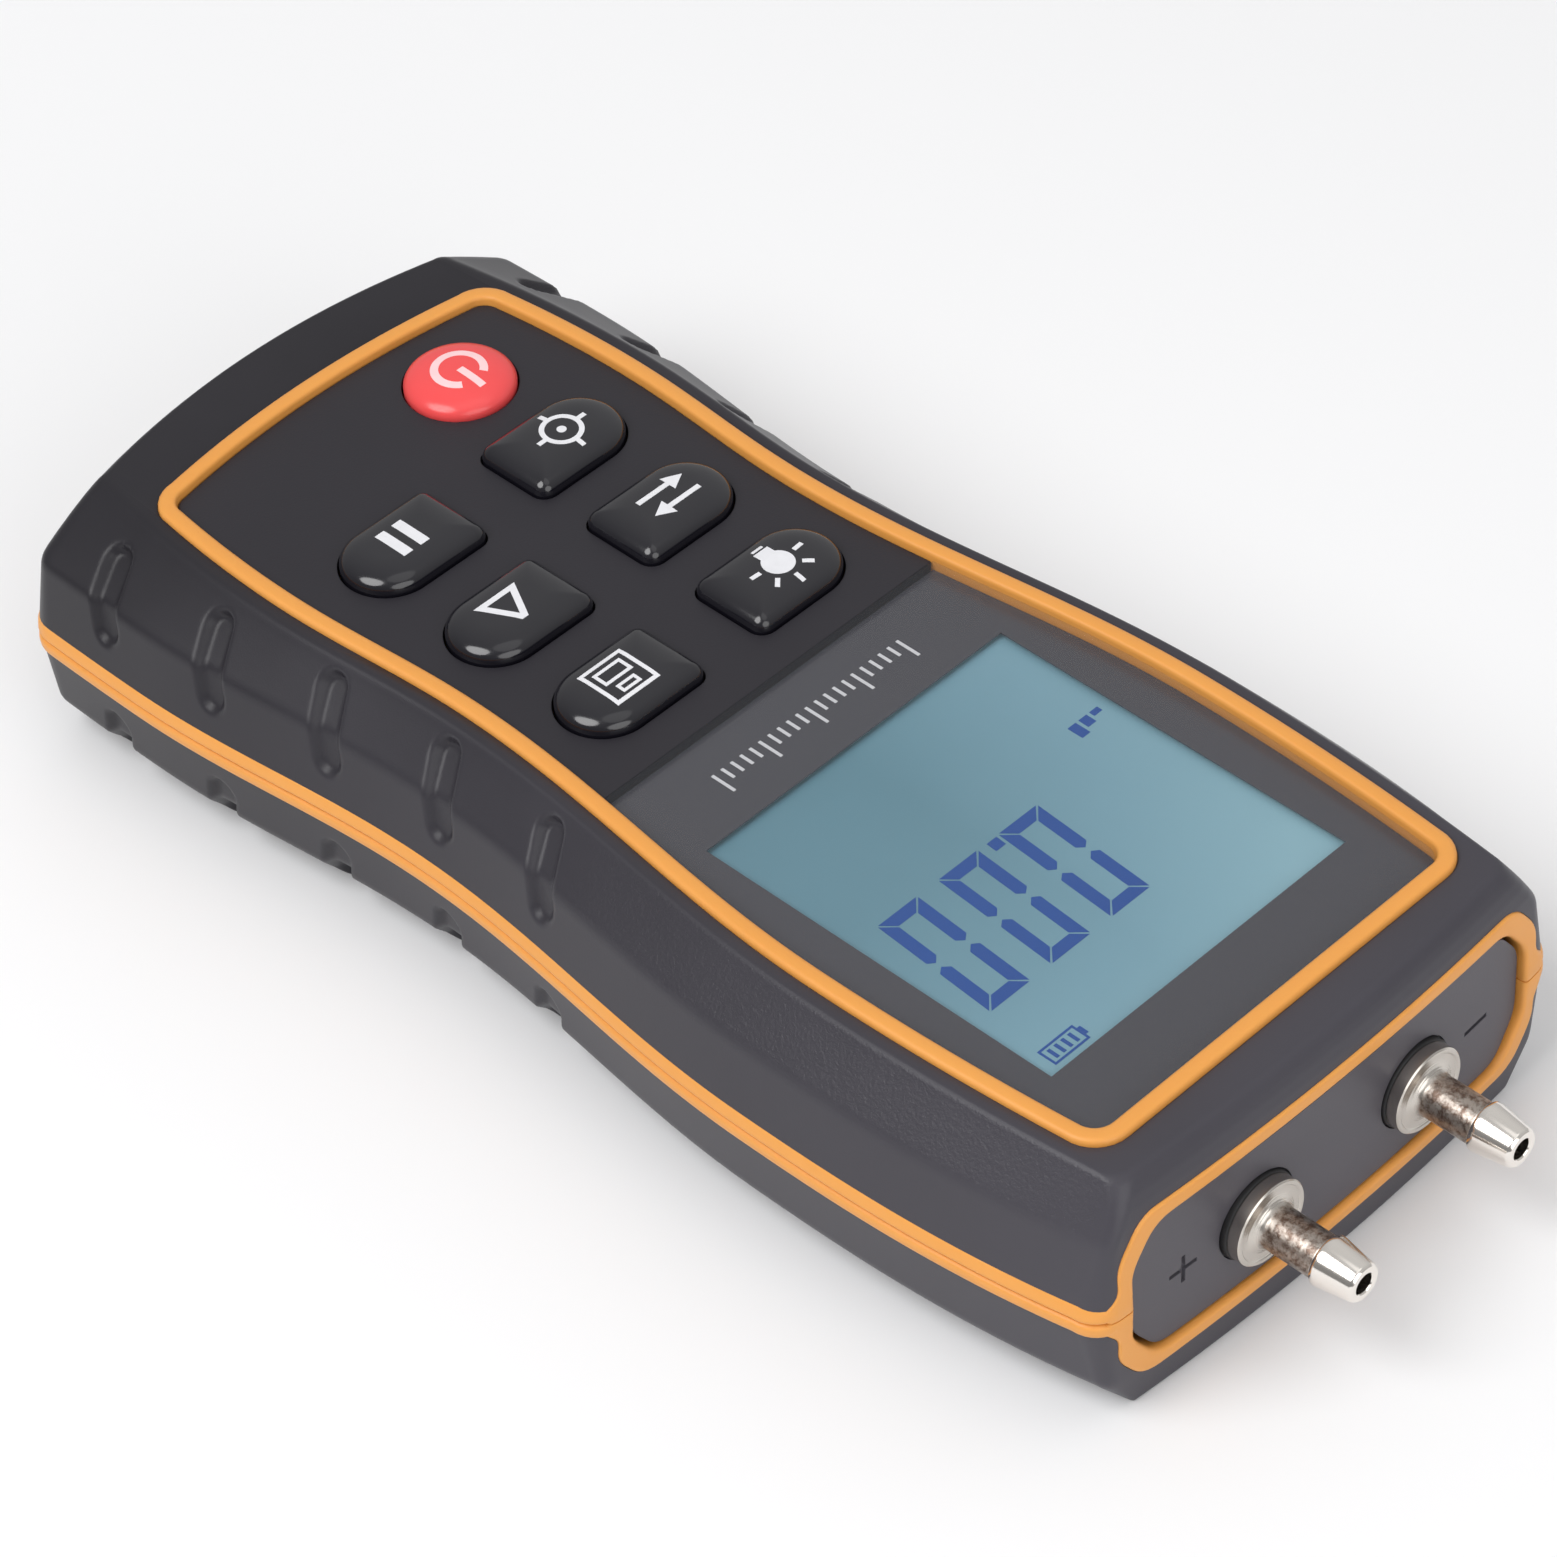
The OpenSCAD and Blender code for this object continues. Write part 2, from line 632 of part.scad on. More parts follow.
module rear_grip() {
    color([0.22, 0.22, 0.24]) difference() {
        loft(concat(lower_loops(0, stripe_bottom), under_loops()));
        frame_prism(0, panel_seat_y - overrun, half_length + overrun);
        block(-cover_half_width - clearance - rim_width, cover_half_width + clearance + rim_width,
            cover_edge_y - clearance - rim_width, cover_y1 + clearance + rim_width, -overrun,
            grip_layer + overrun);
        for (p = case_bosses) translate([p[0], p[1], -overrun])
            cylinder(r = case_screw_head_radius + clearance, h = grip_layer + 2 * overrun, $fn = 48);
        difference() {
            slot_tools(lower_crease_height, lower_crease_inset, 135, -1);
            loft(lower_loops(slot_depth, joint_height));
        }
    }
}

// Outline of a D-shaped key drawn in by inset, its round end towards +X
key_corner_radius = 1.3;
function key_outline(inset) =
    let (
        h = key_width / 2 - inset,
        x0 = -key_length / 2 + inset,
        x1 = key_length / 2 - key_width / 2,
        r = max(key_corner_radius - inset, clearance)
    )
    concat([for (i = [0 : 8]) let (a = -90 + 22.5 * i) [x1 + h * cos(a), h * sin(a)]],
        [for (i = [0 : 3]) let (a = 90 + 30 * i) [x0 + r + r * cos(a), h - r + r * sin(a)]],
        [for (i = [0 : 3]) let (a = 180 + 30 * i) [x0 + r + r * cos(a), -h + r + r * sin(a)]]);

// Places of the six D-shaped keys, the second value of each turning its round end outwards
key_places = [for (row = [0 : 2]) for (side = [-1, 1])
    [side * column_pitch / 2, first_row_y - row * row_pitch, side]];

module at_key(place) {
    translate([place[0], place[1], 0]) mirror([place[2] < 0 ? 1 : 0, 0, 0]) children();
}

module key_holes(z0, z1) {
    for (place = key_places) at_key(place) translate([0, 0, z0]) linear_extrude(z1 - z0)
        polygon(key_outline(-clearance));
    translate([power_key_x, power_key_y, z0])
        cylinder(d = power_key_diameter + 2 * clearance, h = z1 - z0, $fn = 64);
}

key_draw = 0.35;
key_shoulder = 0.5;
key_crown = 0.25;
module key_cap(place) {
    color([0.1, 0.1, 0.11]) at_key(place) {
        translate([0, 0, key_flange_bottom]) linear_extrude(flange_thickness)
            polygon(key_outline(-flange_margin));
        loft([raised(key_outline(0), key_flange_top - fit), raised(key_outline(0), key_plate_top),
            raised(key_outline(key_draw), key_top - key_shoulder - key_crown),
            raised(key_outline(key_draw + key_shoulder / 2), key_top - key_crown),
            raised(key_outline(key_width / 3), key_top)]);
    }
}

module light_key() { key_cap(key_places[0]); }
module store_key() { key_cap(key_places[1]); }
module unit_key() { key_cap(key_places[2]); }
module difference_key() { key_cap(key_places[3]); }
module zero_key() { key_cap(key_places[4]); }
module hold_key() { key_cap(key_places[5]); }

module power_key() {
    r = power_key_diameter / 2;
    crown = 1.1;
    curve = (r * r + crown * crown) / (2 * crown);
    color([0.94, 0.27, 0.27]) translate([power_key_x, power_key_y, 0]) {
        translate([0, 0, key_flange_bottom])
            cylinder(r = r + flange_margin, h = flange_thickness, $fn = 64);
        translate([0, 0, key_flange_top - fit])
            cylinder(r = r, h = key_top - crown - key_flange_top + fit, $fn = 64);
        intersection() {
            translate([0, 0, key_top - curve]) sphere(r = curve, $fn = 96);
            translate([0, 0, key_top - crown - fit]) cylinder(r = r, h = crown + 2 * fit, $fn = 64);
        }
    }
}

module dome(x, y) {
    color([0.8, 0.8, 0.78]) translate([x, y, mat_top]) difference() {
        cylinder(r1 = dome_base_radius, r2 = dome_top_radius, h = dome_top - mat_top, $fn = 48);
        translate([0, 0, -overrun]) cylinder(r = dome_top_radius - clearance, h = overrun
            + (dome_top - mat_top) / 2, $fn = 48);
    }
}

module light_dome() { dome(key_places[0][0], key_places[0][1]); }
module store_dome() { dome(key_places[1][0], key_places[1][1]); }
module unit_dome() { dome(key_places[2][0], key_places[2][1]); }
module difference_dome() { dome(key_places[3][0], key_places[3][1]); }
module zero_dome() { dome(key_places[4][0], key_places[4][1]); }
module hold_dome() { dome(key_places[5][0], key_places[5][1]); }
module power_dome() { dome(power_key_x, power_key_y); }

module keypad_mat() {
    color([0.8, 0.8, 0.78]) block(-mat_half_width, mat_half_width, mat_y0, mat_y1, board_top, mat_top);
}

// Sheet inside the ring, between two places along the body
module face_sheet(y0, y1, z0, z1) {
    intersection() {
        translate([0, 0, z0]) linear_extrude(z1 - z0) polygon(ring_outline(ring_strip + fit));
        block(-body_length, body_length, y0, y1, z0 - overrun, z1 + overrun);
    }
}

module key_plate() {
    color([0.2, 0.2, 0.22]) difference() {
        face_sheet(-body_length, seam_y - fit, face_top, key_plate_top);
        key_holes(face_top - overrun, key_plate_top + overrun);
    }
}

module display_lens() {
    color([0.6, 0.65, 0.7, 0.4]) face_sheet(seam_y, body_length, lens_bottom, body_height);
}

module window_cut(z0, z1) {
    block(-display_width / 2, display_width / 2, display_y0, display_y1, z0 - overrun, z1 + overrun);
}

module lens_mask() {
    color([0.36, 0.35, 0.38]) difference() {
        face_sheet(seam_y, body_length, mask_bottom, lens_bottom);
        window_cut(mask_bottom, lens_bottom);
    }
}

module lens_gasket() {
    color([0.1, 0.1, 0.1]) difference() {
        face_sheet(seam_y, body_length, face_top, mask_bottom);
        block(-display_width / 2 - window_gap, display_width / 2 + window_gap, display_y0 - window_gap,
            display_y1 + window_gap, face_top - overrun, mask_bottom + overrun);
    }
}

module lcd_frame() {
    color([0.85, 0.85, 0.83]) difference() {
        block(-frame_half_width, frame_half_width, frame_y0, frame_y1, board_top, face_top);
        block(-frame_half_width + frame_wall, frame_half_width - frame_wall, frame_y0 + frame_wall,
            frame_y1 - frame_wall, board_top - overrun, glass_top);
        block(-display_width / 2 - window_gap, display_width / 2 + window_gap, display_y0 - window_gap,
            display_y1 + window_gap, board_top, face_top + overrun);
    }
}

module lcd_glass() {
    color([0.5, 0.64, 0.67]) block(-glass_half_width, glass_half_width, frame_y0 + frame_wall + fit,
        frame_y1 - frame_wall - fit, glass_bottom, glass_top);
}

module backlight_panel() {
    color([0.9, 0.95, 0.95]) block(-glass_half_width, glass_half_width, frame_y0 + frame_wall + fit,
        display_y1 + fit, board_top, glass_bottom);
}

module zebra_strip() {
    color([0.3, 0.3, 0.35]) block(-display_width / 2, display_width / 2, display_y1 + 2 * fit,
        display_y1 + 2 * fit + zebra_width, board_top, glass_bottom);
}

module main_board() {
    color([0.1, 0.4, 0.25]) difference() {
        block(-board_half_width, board_half_width, board_y0, board_y1, board_bottom, board_top);
        for (p = board_posts) translate([p[0], p[1], board_bottom - overrun])
            cylinder(r = board_screw_radius + fit, h = board_thickness + 2 * overrun, $fn = 32);
    }
}

module board_screws() {
    color([0.75, 0.75, 0.75]) for (p = board_posts) translate([p[0], p[1], 0]) {
        translate([0, 0, board_bottom - board_screw_head])
            cylinder(r = board_screw_head_radius, h = board_screw_head, $fn = 32);
        translate([0, 0, board_bottom - fit])
            cylinder(r = board_screw_radius, h = board_thickness + board_screw_grip, $fn = 32);
    }
}

chip_size = 12;
chip_thickness = 1.4;
chip_legs = 10;
chip_leg_width = 0.45;
chip_leg_reach = 1;
chip_leg_thickness = 0.3;
chip_y = first_row_y + 3;
module controller_chip() {
    color([0.12, 0.12, 0.12]) {
        block(-chip_size / 2, chip_size / 2, chip_y - chip_size / 2, chip_y + chip_size / 2,
            board_bottom - chip_thickness, board_bottom);
        for (side = [-1, 1]) for (i = [0 : chip_legs - 1]) {
            y = chip_y - chip_size / 2 + chip_size * (i + 0.5) / chip_legs;
            x = side * (chip_size / 2 + chip_leg_reach / 2);
            block(x - chip_leg_reach / 2 - fit, x + chip_leg_reach / 2 + fit, y - chip_leg_width / 2,
                y + chip_leg_width / 2, board_bottom - chip_leg_thickness, board_bottom);
        }
    }
}

module pressure_sensor() {
    color([0.88, 0.88, 0.85]) difference() {
        union() {
            block(-sensor_width / 2, sensor_width / 2, sensor_y1 - sensor_length, sensor_y1,
                board_bottom - sensor_height, board_bottom);
            for (side = [-1, 1]) translate([side * nozzle_x, 0, port_z])
                bar_y(stub_diameter / 2, sensor_y1 - fit, sensor_y1 + nozzle_length);
        }
        for (side = [-1, 1]) translate([side * nozzle_x, 0, port_z])
            bar_y(port_bore / 2, sensor_y1 - sensor_length / 2, sensor_y1 + nozzle_length + overrun);
    }
}

// Hollow tube in a level plane, bent once to each side between two straight ends
tube_steps = 12;
hose_straight_share = 0.27;
tube_sides = 12;
module hose(x0, x1, y0, y1, z) {
    path = [for (i = [0 : tube_steps]) let (t = i / tube_steps)
        [x0 + (x1 - x0) * blend((t - hose_straight_share) / (1 - 2 * hose_straight_share)),
            y0 + (y1 - y0) * t]];
    function ring(i, r) =
        let (
            d = path[min(i + 1, tube_steps)] - path[max(i - 1, 0)],
            n = [d[1], -d[0]] / norm(d)
        )
        [for (k = [0 : tube_sides - 1]) let (a = 360 * k / tube_sides)
            [path[i][0] + r * cos(a) * n[0], path[i][1] + r * cos(a) * n[1], z + r * sin(a)]];
    inner = tube_bore / 2 / cos(180 / tube_sides);
    outer = inner + tube_wall;
    color([0.85, 0.87, 0.87]) band(concat([for (i = [0 : tube_steps]) ring(i, outer)],
        [for (i = [tube_steps : -1 : 0]) ring(i, inner)]));
}

module plus_tube() { hose(nozzle_x, port_x, tube_y0, tube_y1, port_z); }
module minus_tube() { hose(-nozzle_x, -port_x, tube_y0, tube_y1, port_z); }

module end_panel() {
    radius = (pow(panel_width / 2, 2) + pow(barb_end_bulge, 2)) / (2 * barb_end_bulge);
    color([0.27, 0.27, 0.29]) difference() {
        union() {
            intersection() {
                panel_prism(0, panel_seat_y - panel_flange_depth, half_length + overrun);
                translate([0, panel_front_y - radius, -overrun])
                    cylinder(r = radius, h = body_height + 2 * overrun, $fn = 360);
            }
            panel_prism(panel_flange, panel_seat_y - panel_flange_depth, panel_seat_y);
        }
        panel_prism(-panel_skirt, panel_seat_y - panel_flange_depth - overrun, panel_pocket_y);
        for (side = [-1, 1]) translate([side * port_x, 0, port_z]) {
            bar_y(port_thread_diameter / 2 + fit, panel_pocket_y - overrun, half_length + overrun);
            bar_y(seal_radius + fit, seal_seat_y, half_length + overrun);
        }
        translate([sign_x, panel_front_y, port_z]) for (turn = [0, 90]) rotate([0, turn, 0])
            block(-sign_size / 2, sign_size / 2, -sign_depth - barb_end_bulge, overrun, -sign_stroke / 2,
                sign_stroke / 2);
        translate([-sign_x, panel_front_y, port_z])
            block(-sign_size / 2, sign_size / 2, -sign_depth - barb_end_bulge, overrun, -sign_stroke / 2,
                sign_stroke / 2);
    }
}

module port(x) {
    cone_y = barb_tip_y - barb_cone;
    bore = port_bore / 2;
    color([0.8, 0.8, 0.8]) translate([x, 0, port_z]) rotate([-90, 0, 0]) rotate_extrude($fn = 64)
        polygon([[bore, stub_y], [stub_diameter / 2, stub_y], [stub_diameter / 2, nut_y],
            [port_thread_diameter / 2, nut_y], [port_thread_diameter / 2, flange_y],
            [flange_diameter / 2, flange_y], [flange_diameter / 2, port_front_y],
            [neck_diameter / 2, port_front_y], [neck_diameter / 2, cone_y - barb_land],
            [barb_diameter / 2, cone_y - barb_land], [barb_diameter / 2, cone_y],
            [barb_tip_diameter / 2, barb_tip_y], [bore, barb_tip_y]]);
}

module plus_port() { port(port_x); }
module minus_port() { port(-port_x); }

module seal(x) {
    color([0.05, 0.05, 0.05]) translate([x, 0, port_z]) difference() {
        bar_y(seal_radius, seal_seat_y, flange_y);
        bar_y(port_thread_diameter / 2 + fit, seal_seat_y - overrun, flange_y + overrun);
    }
}

module plus_seal() { seal(port_x); }
module minus_seal() { seal(-port_x); }

module nut(x) {
    color([0.75, 0.7, 0.5]) translate([x, nut_y, port_z]) rotate([-90, 0, 0]) difference() {
        cylinder(d = nut_flats / cos(30), h = nut_thickness, $fn = 6);
        translate([0, 0, -overrun]) cylinder(d = port_thread_diameter + fit, h = nut_thickness + 2 * overrun,
            $fn = 48);
    }
}

module plus_nut() { nut(port_x); }
module minus_nut() { nut(-port_x); }

// Cell lying along Y, its nub at y and its body running away from it
module cell(x, y, direction, tone) {
    can = cell_length - nub_length;
    color(tone) translate([x, y, cell_z]) rotate([direction * 90, 0, 0]) {
        cylinder(d = nub_diameter, h = nub_length + fit, $fn = 32);
        translate([0, 0, nub_length]) cylinder(d = cell_diameter, h = can, $fn = 64);
    }
}

module cell_1() { cell(-cell_pitch, bay_y1 - contact_thickness - fit, 1, [0.2, 0.25, 0.3]); }
module cell_2() { cell(0, bay_y0 + contact_thickness + fit, -1, [0.2, 0.25, 0.3]); }
module cell_3() { cell(cell_pitch, bay_y1 - contact_thickness - fit, 1, [0.2, 0.25, 0.3]); }

// Flat contact against the end wall at y, reaching inwards
module contact_plate(x0, x1, y, inwards) {
    y1 = y + inwards * contact_thickness;
    block(x0, x1, min(y, y1), max(y, y1), cell_z - contact_height / 2, cell_z + contact_height / 2);
}

// Wound contact spring from a plate at y towards a cell
spring_rings = 8;
spring_sides = 6;
module contact_spring(x, y, inwards) {
    n = spring_turns * spring_rings;
    reach = spring_length - 2 * fit - spring_wire;
    function middle(i) = let (a = 360 * i / spring_rings)
        [x + spring_radius * cos(a), y + inwards * (spring_wire / 2 + reach * i / n),
            cell_z + spring_radius * sin(a)];
    function ring(i) = let (a = 360 * i / spring_rings, c = middle(i))
        [for (k = [0 : spring_sides - 1]) let (b = 360 * k / spring_sides)
            [c[0] + spring_wire / 2 * cos(b) * cos(a), c[1] + spring_wire / 2 * sin(b) * inwards,
                c[2] + spring_wire / 2 * cos(b) * sin(a)]];
    loops = [for (i = [0 : n]) ring(i)];
    loft(inwards > 0 ? loops : [for (i = [n : -1 : 0]) loops[i]]);
}

// Solder tail of an end contact, out through the end wall of the bay, and the slot for it
module solder_tail(x, y, outwards) {
    y1 = y + outwards * tail_length;
    block(x - tail_width / 2, x + tail_width / 2, min(y, y1), max(y, y1), tail_z, tail_z + contact_thickness);
}

module tail_slot(x, y, outwards) {
    y0 = y - outwards * overrun;
    y1 = y + outwards * (bay_wall + overrun);
    block(x - tail_width / 2 - fit, x + tail_width / 2 + fit, min(y0, y1), max(y0, y1), tail_z - fit,
        tail_z + contact_thickness + fit);
}

module positive_contact() {
    color([0.78, 0.76, 0.7]) {
        contact_plate(-cell_pitch - contact_width / 2, -cell_pitch + contact_width / 2, bay_y1, -1);
        solder_tail(-cell_pitch, bay_y1, 1);
    }
}

module negative_contact() {
    color([0.78, 0.76, 0.7]) {
        contact_plate(cell_pitch - contact_width / 2, cell_pitch + contact_width / 2, bay_y0, 1);
        contact_spring(cell_pitch, bay_y0 + contact_thickness - fit, 1);
        solder_tail(cell_pitch, bay_y0, -1);
    }
}

module handle_end_bridge() {
    color([0.78, 0.76, 0.7]) {
        contact_plate(-cell_pitch - contact_width / 2, contact_width / 2, bay_y0, 1);
        contact_spring(-cell_pitch, bay_y0 + contact_thickness - fit, 1);
    }
}

module display_end_bridge() {
    color([0.78, 0.76, 0.7]) {
        contact_plate(-contact_width / 2, cell_pitch + contact_width / 2, bay_y1, -1);
        contact_spring(0, bay_y1 - contact_thickness + fit, -1);
    }
}

// Wire from the top of a solder tail at y0, straight up and then over to the board at y1
lead_sides = 8;
lead_steps = 14;
module lead(x, y0, y1) {
    z0 = tail_z + contact_thickness;
    route = [for (i = [0 : lead_steps]) let (t = i / lead_steps)
        [y0 + (y1 - y0) * blend((t - lead_straight_share) / (lead_end_share - lead_straight_share)),
            z0 + (board_bottom - z0) * t]];
    n = len(route);
    function ring(i) =
        let (
            d = route[min(i + 1, n - 1)] - route[max(i - 1, 0)],
            up = [-d[1], d[0]] / norm(d)
        )
        [for (k = [0 : lead_sides - 1]) let (a = 360 * k / lead_sides)
            [x + lead_diameter / 2 * cos(a), route[i][0] + lead_diameter / 2 * sin(a) * up[0],
                route[i][1] + lead_diameter / 2 * sin(a) * up[1]]];
    loft([for (i = [0 : n - 1]) ring(i)]);
}

module red_lead() {
    y0 = bay_y1 + tail_length - tail_width / 2;
    color([0.8, 0.1, 0.1]) lead(-cell_pitch, y0, y0 + lead_bend);
}

module black_lead() {
    y0 = bay_y0 - tail_length + tail_width / 2;
    color([0.1, 0.1, 0.1]) lead(cell_pitch, y0, board_y0 + lead_bend);
}

module battery_cover() {
    color([0.22, 0.22, 0.24]) {
        block(-cover_half_width, cover_half_width, hinge_y, cover_y1, 0, cover_thickness);
        translate([-cover_half_width, hinge_y, hinge_z]) rotate([0, 90, 0])
            cylinder(r = hinge_radius, h = 2 * cover_half_width, $fn = 48);
        translate([-cover_half_width - clearance - hinge_pin_length + fit, hinge_y, hinge_z])
            rotate([0, 90, 0]) cylinder(r = hinge_pin_radius, h = 2 * (cover_half_width + clearance
                + hinge_pin_length - fit), $fn = 32);
    }
}

module case_screws() {
    color([0.7, 0.7, 0.7]) for (p = case_bosses) translate([p[0], p[1], case_screw_sink]) difference() {
        union() {
            cylinder(r = case_screw_head_radius, h = case_screw_head, $fn = 48);
            translate([0, 0, case_screw_head - fit])
                cylinder(r = case_screw_radius, h = case_screw_length - case_screw_head, $fn = 32);
        }
        for (turn = [0, 90]) rotate([0, 0, turn]) block(-case_screw_head_radius / 2, case_screw_head_radius
            / 2, -sign_stroke / 2, sign_stroke / 2, -overrun, case_screw_head / 2);
    }
}

front_shell();
front_grip();
rear_shell();
rear_grip();
key_plate();
display_lens();
lens_mask();
lens_gasket();
lcd_frame();
lcd_glass();
backlight_panel();
zebra_strip();
main_board();
board_screws();
controller_chip();
pressure_sensor();
plus_tube();
minus_tube();
end_panel();
plus_port();
minus_port();
plus_seal();
minus_seal();
plus_nut();
minus_nut();
light_key();
unit_key();
zero_key();
store_key();
difference_key();
hold_key();
power_key();
light_dome();
unit_dome();
zero_dome();
store_dome();
difference_dome();
hold_dome();
power_dome();
keypad_mat();
cell_1();
cell_2();
cell_3();
positive_contact();
negative_contact();
handle_end_bridge();
display_end_bridge();
red_lead();
black_lead();
battery_cover();
case_screws();
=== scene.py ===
import math

import bmesh
import bpy
from mathutils import Matrix, Vector


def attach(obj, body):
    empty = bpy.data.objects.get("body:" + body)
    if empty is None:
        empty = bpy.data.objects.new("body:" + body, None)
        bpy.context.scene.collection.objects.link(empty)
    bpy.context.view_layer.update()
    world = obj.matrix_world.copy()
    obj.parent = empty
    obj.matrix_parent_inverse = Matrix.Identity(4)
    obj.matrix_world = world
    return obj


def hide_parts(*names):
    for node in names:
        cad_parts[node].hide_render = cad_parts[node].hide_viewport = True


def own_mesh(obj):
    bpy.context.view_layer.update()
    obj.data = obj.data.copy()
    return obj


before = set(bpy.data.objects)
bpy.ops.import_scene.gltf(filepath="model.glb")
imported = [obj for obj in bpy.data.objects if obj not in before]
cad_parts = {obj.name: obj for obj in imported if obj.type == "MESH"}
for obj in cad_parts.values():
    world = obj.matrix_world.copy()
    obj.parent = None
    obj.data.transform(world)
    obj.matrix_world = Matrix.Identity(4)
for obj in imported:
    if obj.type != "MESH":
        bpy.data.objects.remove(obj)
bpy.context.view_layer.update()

# Studio: a long lens looks down over the barb end, as in a catalogue photograph. The floor is pale and
# plain. The main softbox stands beside the handle, a weaker one hangs overhead and one faces the barbs,
# and the white room is brighter far off.
MM = 0.001
scene = bpy.context.scene
scene.view_settings.view_transform = "Standard"


def linear(code):
    """Linear colour of an sRGB hex code"""
    parts = [int(code[i:i + 2], 16) / 255 for i in (1, 3, 5)]
    return tuple(c / 12.92 if c <= 0.04045 else ((c + 0.055) / 1.055) ** 2.4 for c in parts) + (1,)


def add_node(tree, kind, settings=None, **links):
    """Shader node with its settings, a ramp's as its two end colours, and inputs linked by name, spaces as
    underscores, to a socket or a node's first output"""
    node = tree.nodes.new("ShaderNode" + kind)
    for key, value in (settings or {}).items():
        if key == "ramp":
            for end, code in zip(node.color_ramp.elements, value):
                end.color = linear(code)
        elif isinstance(key, int) or key in node.inputs:
            node.inputs[key].default_value = value
        else:
            setattr(node, key, value)
    for key, source in links.items():
        place = int(key[1:]) if key[0] == "i" and key[1:].isdigit() else key.replace("_", " ")
        socket = source.outputs[0] if isinstance(source, bpy.types.Node) else source
        tree.links.new(socket, node.inputs[place])
    return node


def new_material(name):
    """Empty node material"""
    material = bpy.data.materials.new(name)
    material.use_nodes = True
    material.node_tree.nodes.clear()
    return material


camera = bpy.data.objects.new("camera", bpy.data.cameras.new("camera"))
camera.data.sensor_width = 36
camera.data.lens = 141.91
camera.data.clip_end = 10
camera.location = (0.294454, 0.312216, 0.419673)
camera.rotation_euler = [math.radians(a) for a in (46.5249, 2.38918, 134.21298)]
scene.collection.objects.link(camera)
scene.camera = camera

# Round lamps that point at the instrument: place, size and power
for name, place, size, power in (("softbox_over", (-0.1, 0.35, 1.2), 0.9, 1),
                                 ("softbox_near", (0.72, -0.12, 0.92), 0.85, 9.3),
                                 ("softbox_end", (0.25, 1, 0.5), 1, 4.5)):
    lamp = bpy.data.objects.new(name, bpy.data.lights.new(name, "AREA"))
    lamp.data.shape = "DISK"
    lamp.data.size = size
    lamp.data.energy = power
    lamp.location = place
    lamp.rotation_euler = (-Vector(place)).to_track_quat("-Z", "Y").to_euler()
    scene.collection.objects.link(lamp)

world = bpy.data.worlds.new("studio")
world.use_nodes = True
scene.world = world
room = world.node_tree
room.nodes.clear()
rays = add_node(room, "LightPath")
seen = add_node(room, "Math", {"operation": "MAXIMUM"}, i0=rays.outputs["Is Camera Ray"],
                i1=rays.outputs["Is Transmission Ray"])
towards = add_node(room, "TexCoord").outputs["Generated"]
facing = add_node(room, "VectorMath", {"operation": "DOT_PRODUCT", 1: (-0.62, -0.1, 0.78)}, i0=towards)
half = add_node(room, "MapRange", {"From Min": -1}, Value=facing.outputs["Value"])
curve = add_node(room, "Math", {"operation": "POWER", 1: 2}, i0=half)
level = add_node(room, "MapRange", {"To Min": 0.2, "To Max": 0.65}, Value=curve)
walls = add_node(room, "Background", {"Color": linear("#FFFFFF")}, Strength=level)
backdrop = add_node(room, "Background", {"Color": linear("#F7F7F8"), "Strength": 1})
mixed_room = add_node(room, "MixShader", Fac=seen, i1=walls, i2=backdrop)
add_node(room, "OutputWorld", Surface=mixed_room)

bpy.ops.object.select_all(action="DESELECT")
bpy.ops.mesh.primitive_plane_add(size=6, location=(0, 0, -0.05 * MM))
floor = bpy.context.object
floor.name = "floor"
paper = new_material("matt paper")
tree = paper.node_tree
rays = add_node(tree, "LightPath")
# A faint glow that only the camera and reflections see whitens the paper
direct = rays.outputs["Is Camera Ray"]
for kind in ("Is Glossy Ray", "Is Transmission Ray"):
    direct = add_node(tree, "Math", {"operation": "MAXIMUM"}, i0=direct, i1=rays.outputs[kind])
glow = add_node(tree, "Math", {"operation": "MULTIPLY", 1: 0.015}, i0=direct)
sheet = add_node(tree, "BsdfDiffuse", {"Color": linear("#F0F0F1")})
lift = add_node(tree, "Emission", Strength=glow)
both = add_node(tree, "AddShader", i0=sheet, i1=lift)
add_node(tree, "OutputMaterial", Surface=both)
floor.data.materials.append(paper)

# Upper grip: black thermoplastic elastomer moulded over the hard upper shell. It runs from the stripe up
# the sides and over a bevel to the face ring. Slanted slots cross the crease at the handle, and beside the
# display the bevel has a coarse spark-eroded grain.
HALF_LENGTH = 73
FACE = 28
JOINT = 13.9
STRIPE_TOP = 15.55
UPPER_CREASE = 22.65
LOWER_CREASE = 4.8
STRIPE_BOTTOM = 12.25
GRIP_LAYER = 1.6
FACE_TOP = 26.4
# Half widths of the body and of the face ring, at five places along each, and how they narrow at the end
BODY_PLACES = (-73, -52.998, -15.038, 30.952, 73)
BODY_WIDTHS = (33.3, 33.7, 31, 34.7, 30.6)
RING_PLACES = (-63.3, -41.026, -16.06, 32.996, 66.6)
RING_WIDTHS = (22.5, 24.4, 23.1, 27.1, 25.2)
BODY_POWER = 2.5
RING_POWER = 2
# Bulge of each end, and corner radii, from the handle end to the barb end
BODY_BULGES = (3, 1.2)
BODY_CORNERS = (3.8, 3)
RING_BULGES = (1.7, 0)
RING_CORNER = 4
TOP_CORNERS = (1.2, 2.4)
# How far a level lies inside the joint's outline, at the sides, the barb end and the handle end
UPPER_DRAW = (1.65, 0.4, 0.9)
LOWER_DRAW = (1.3, 0.3, 0.6)
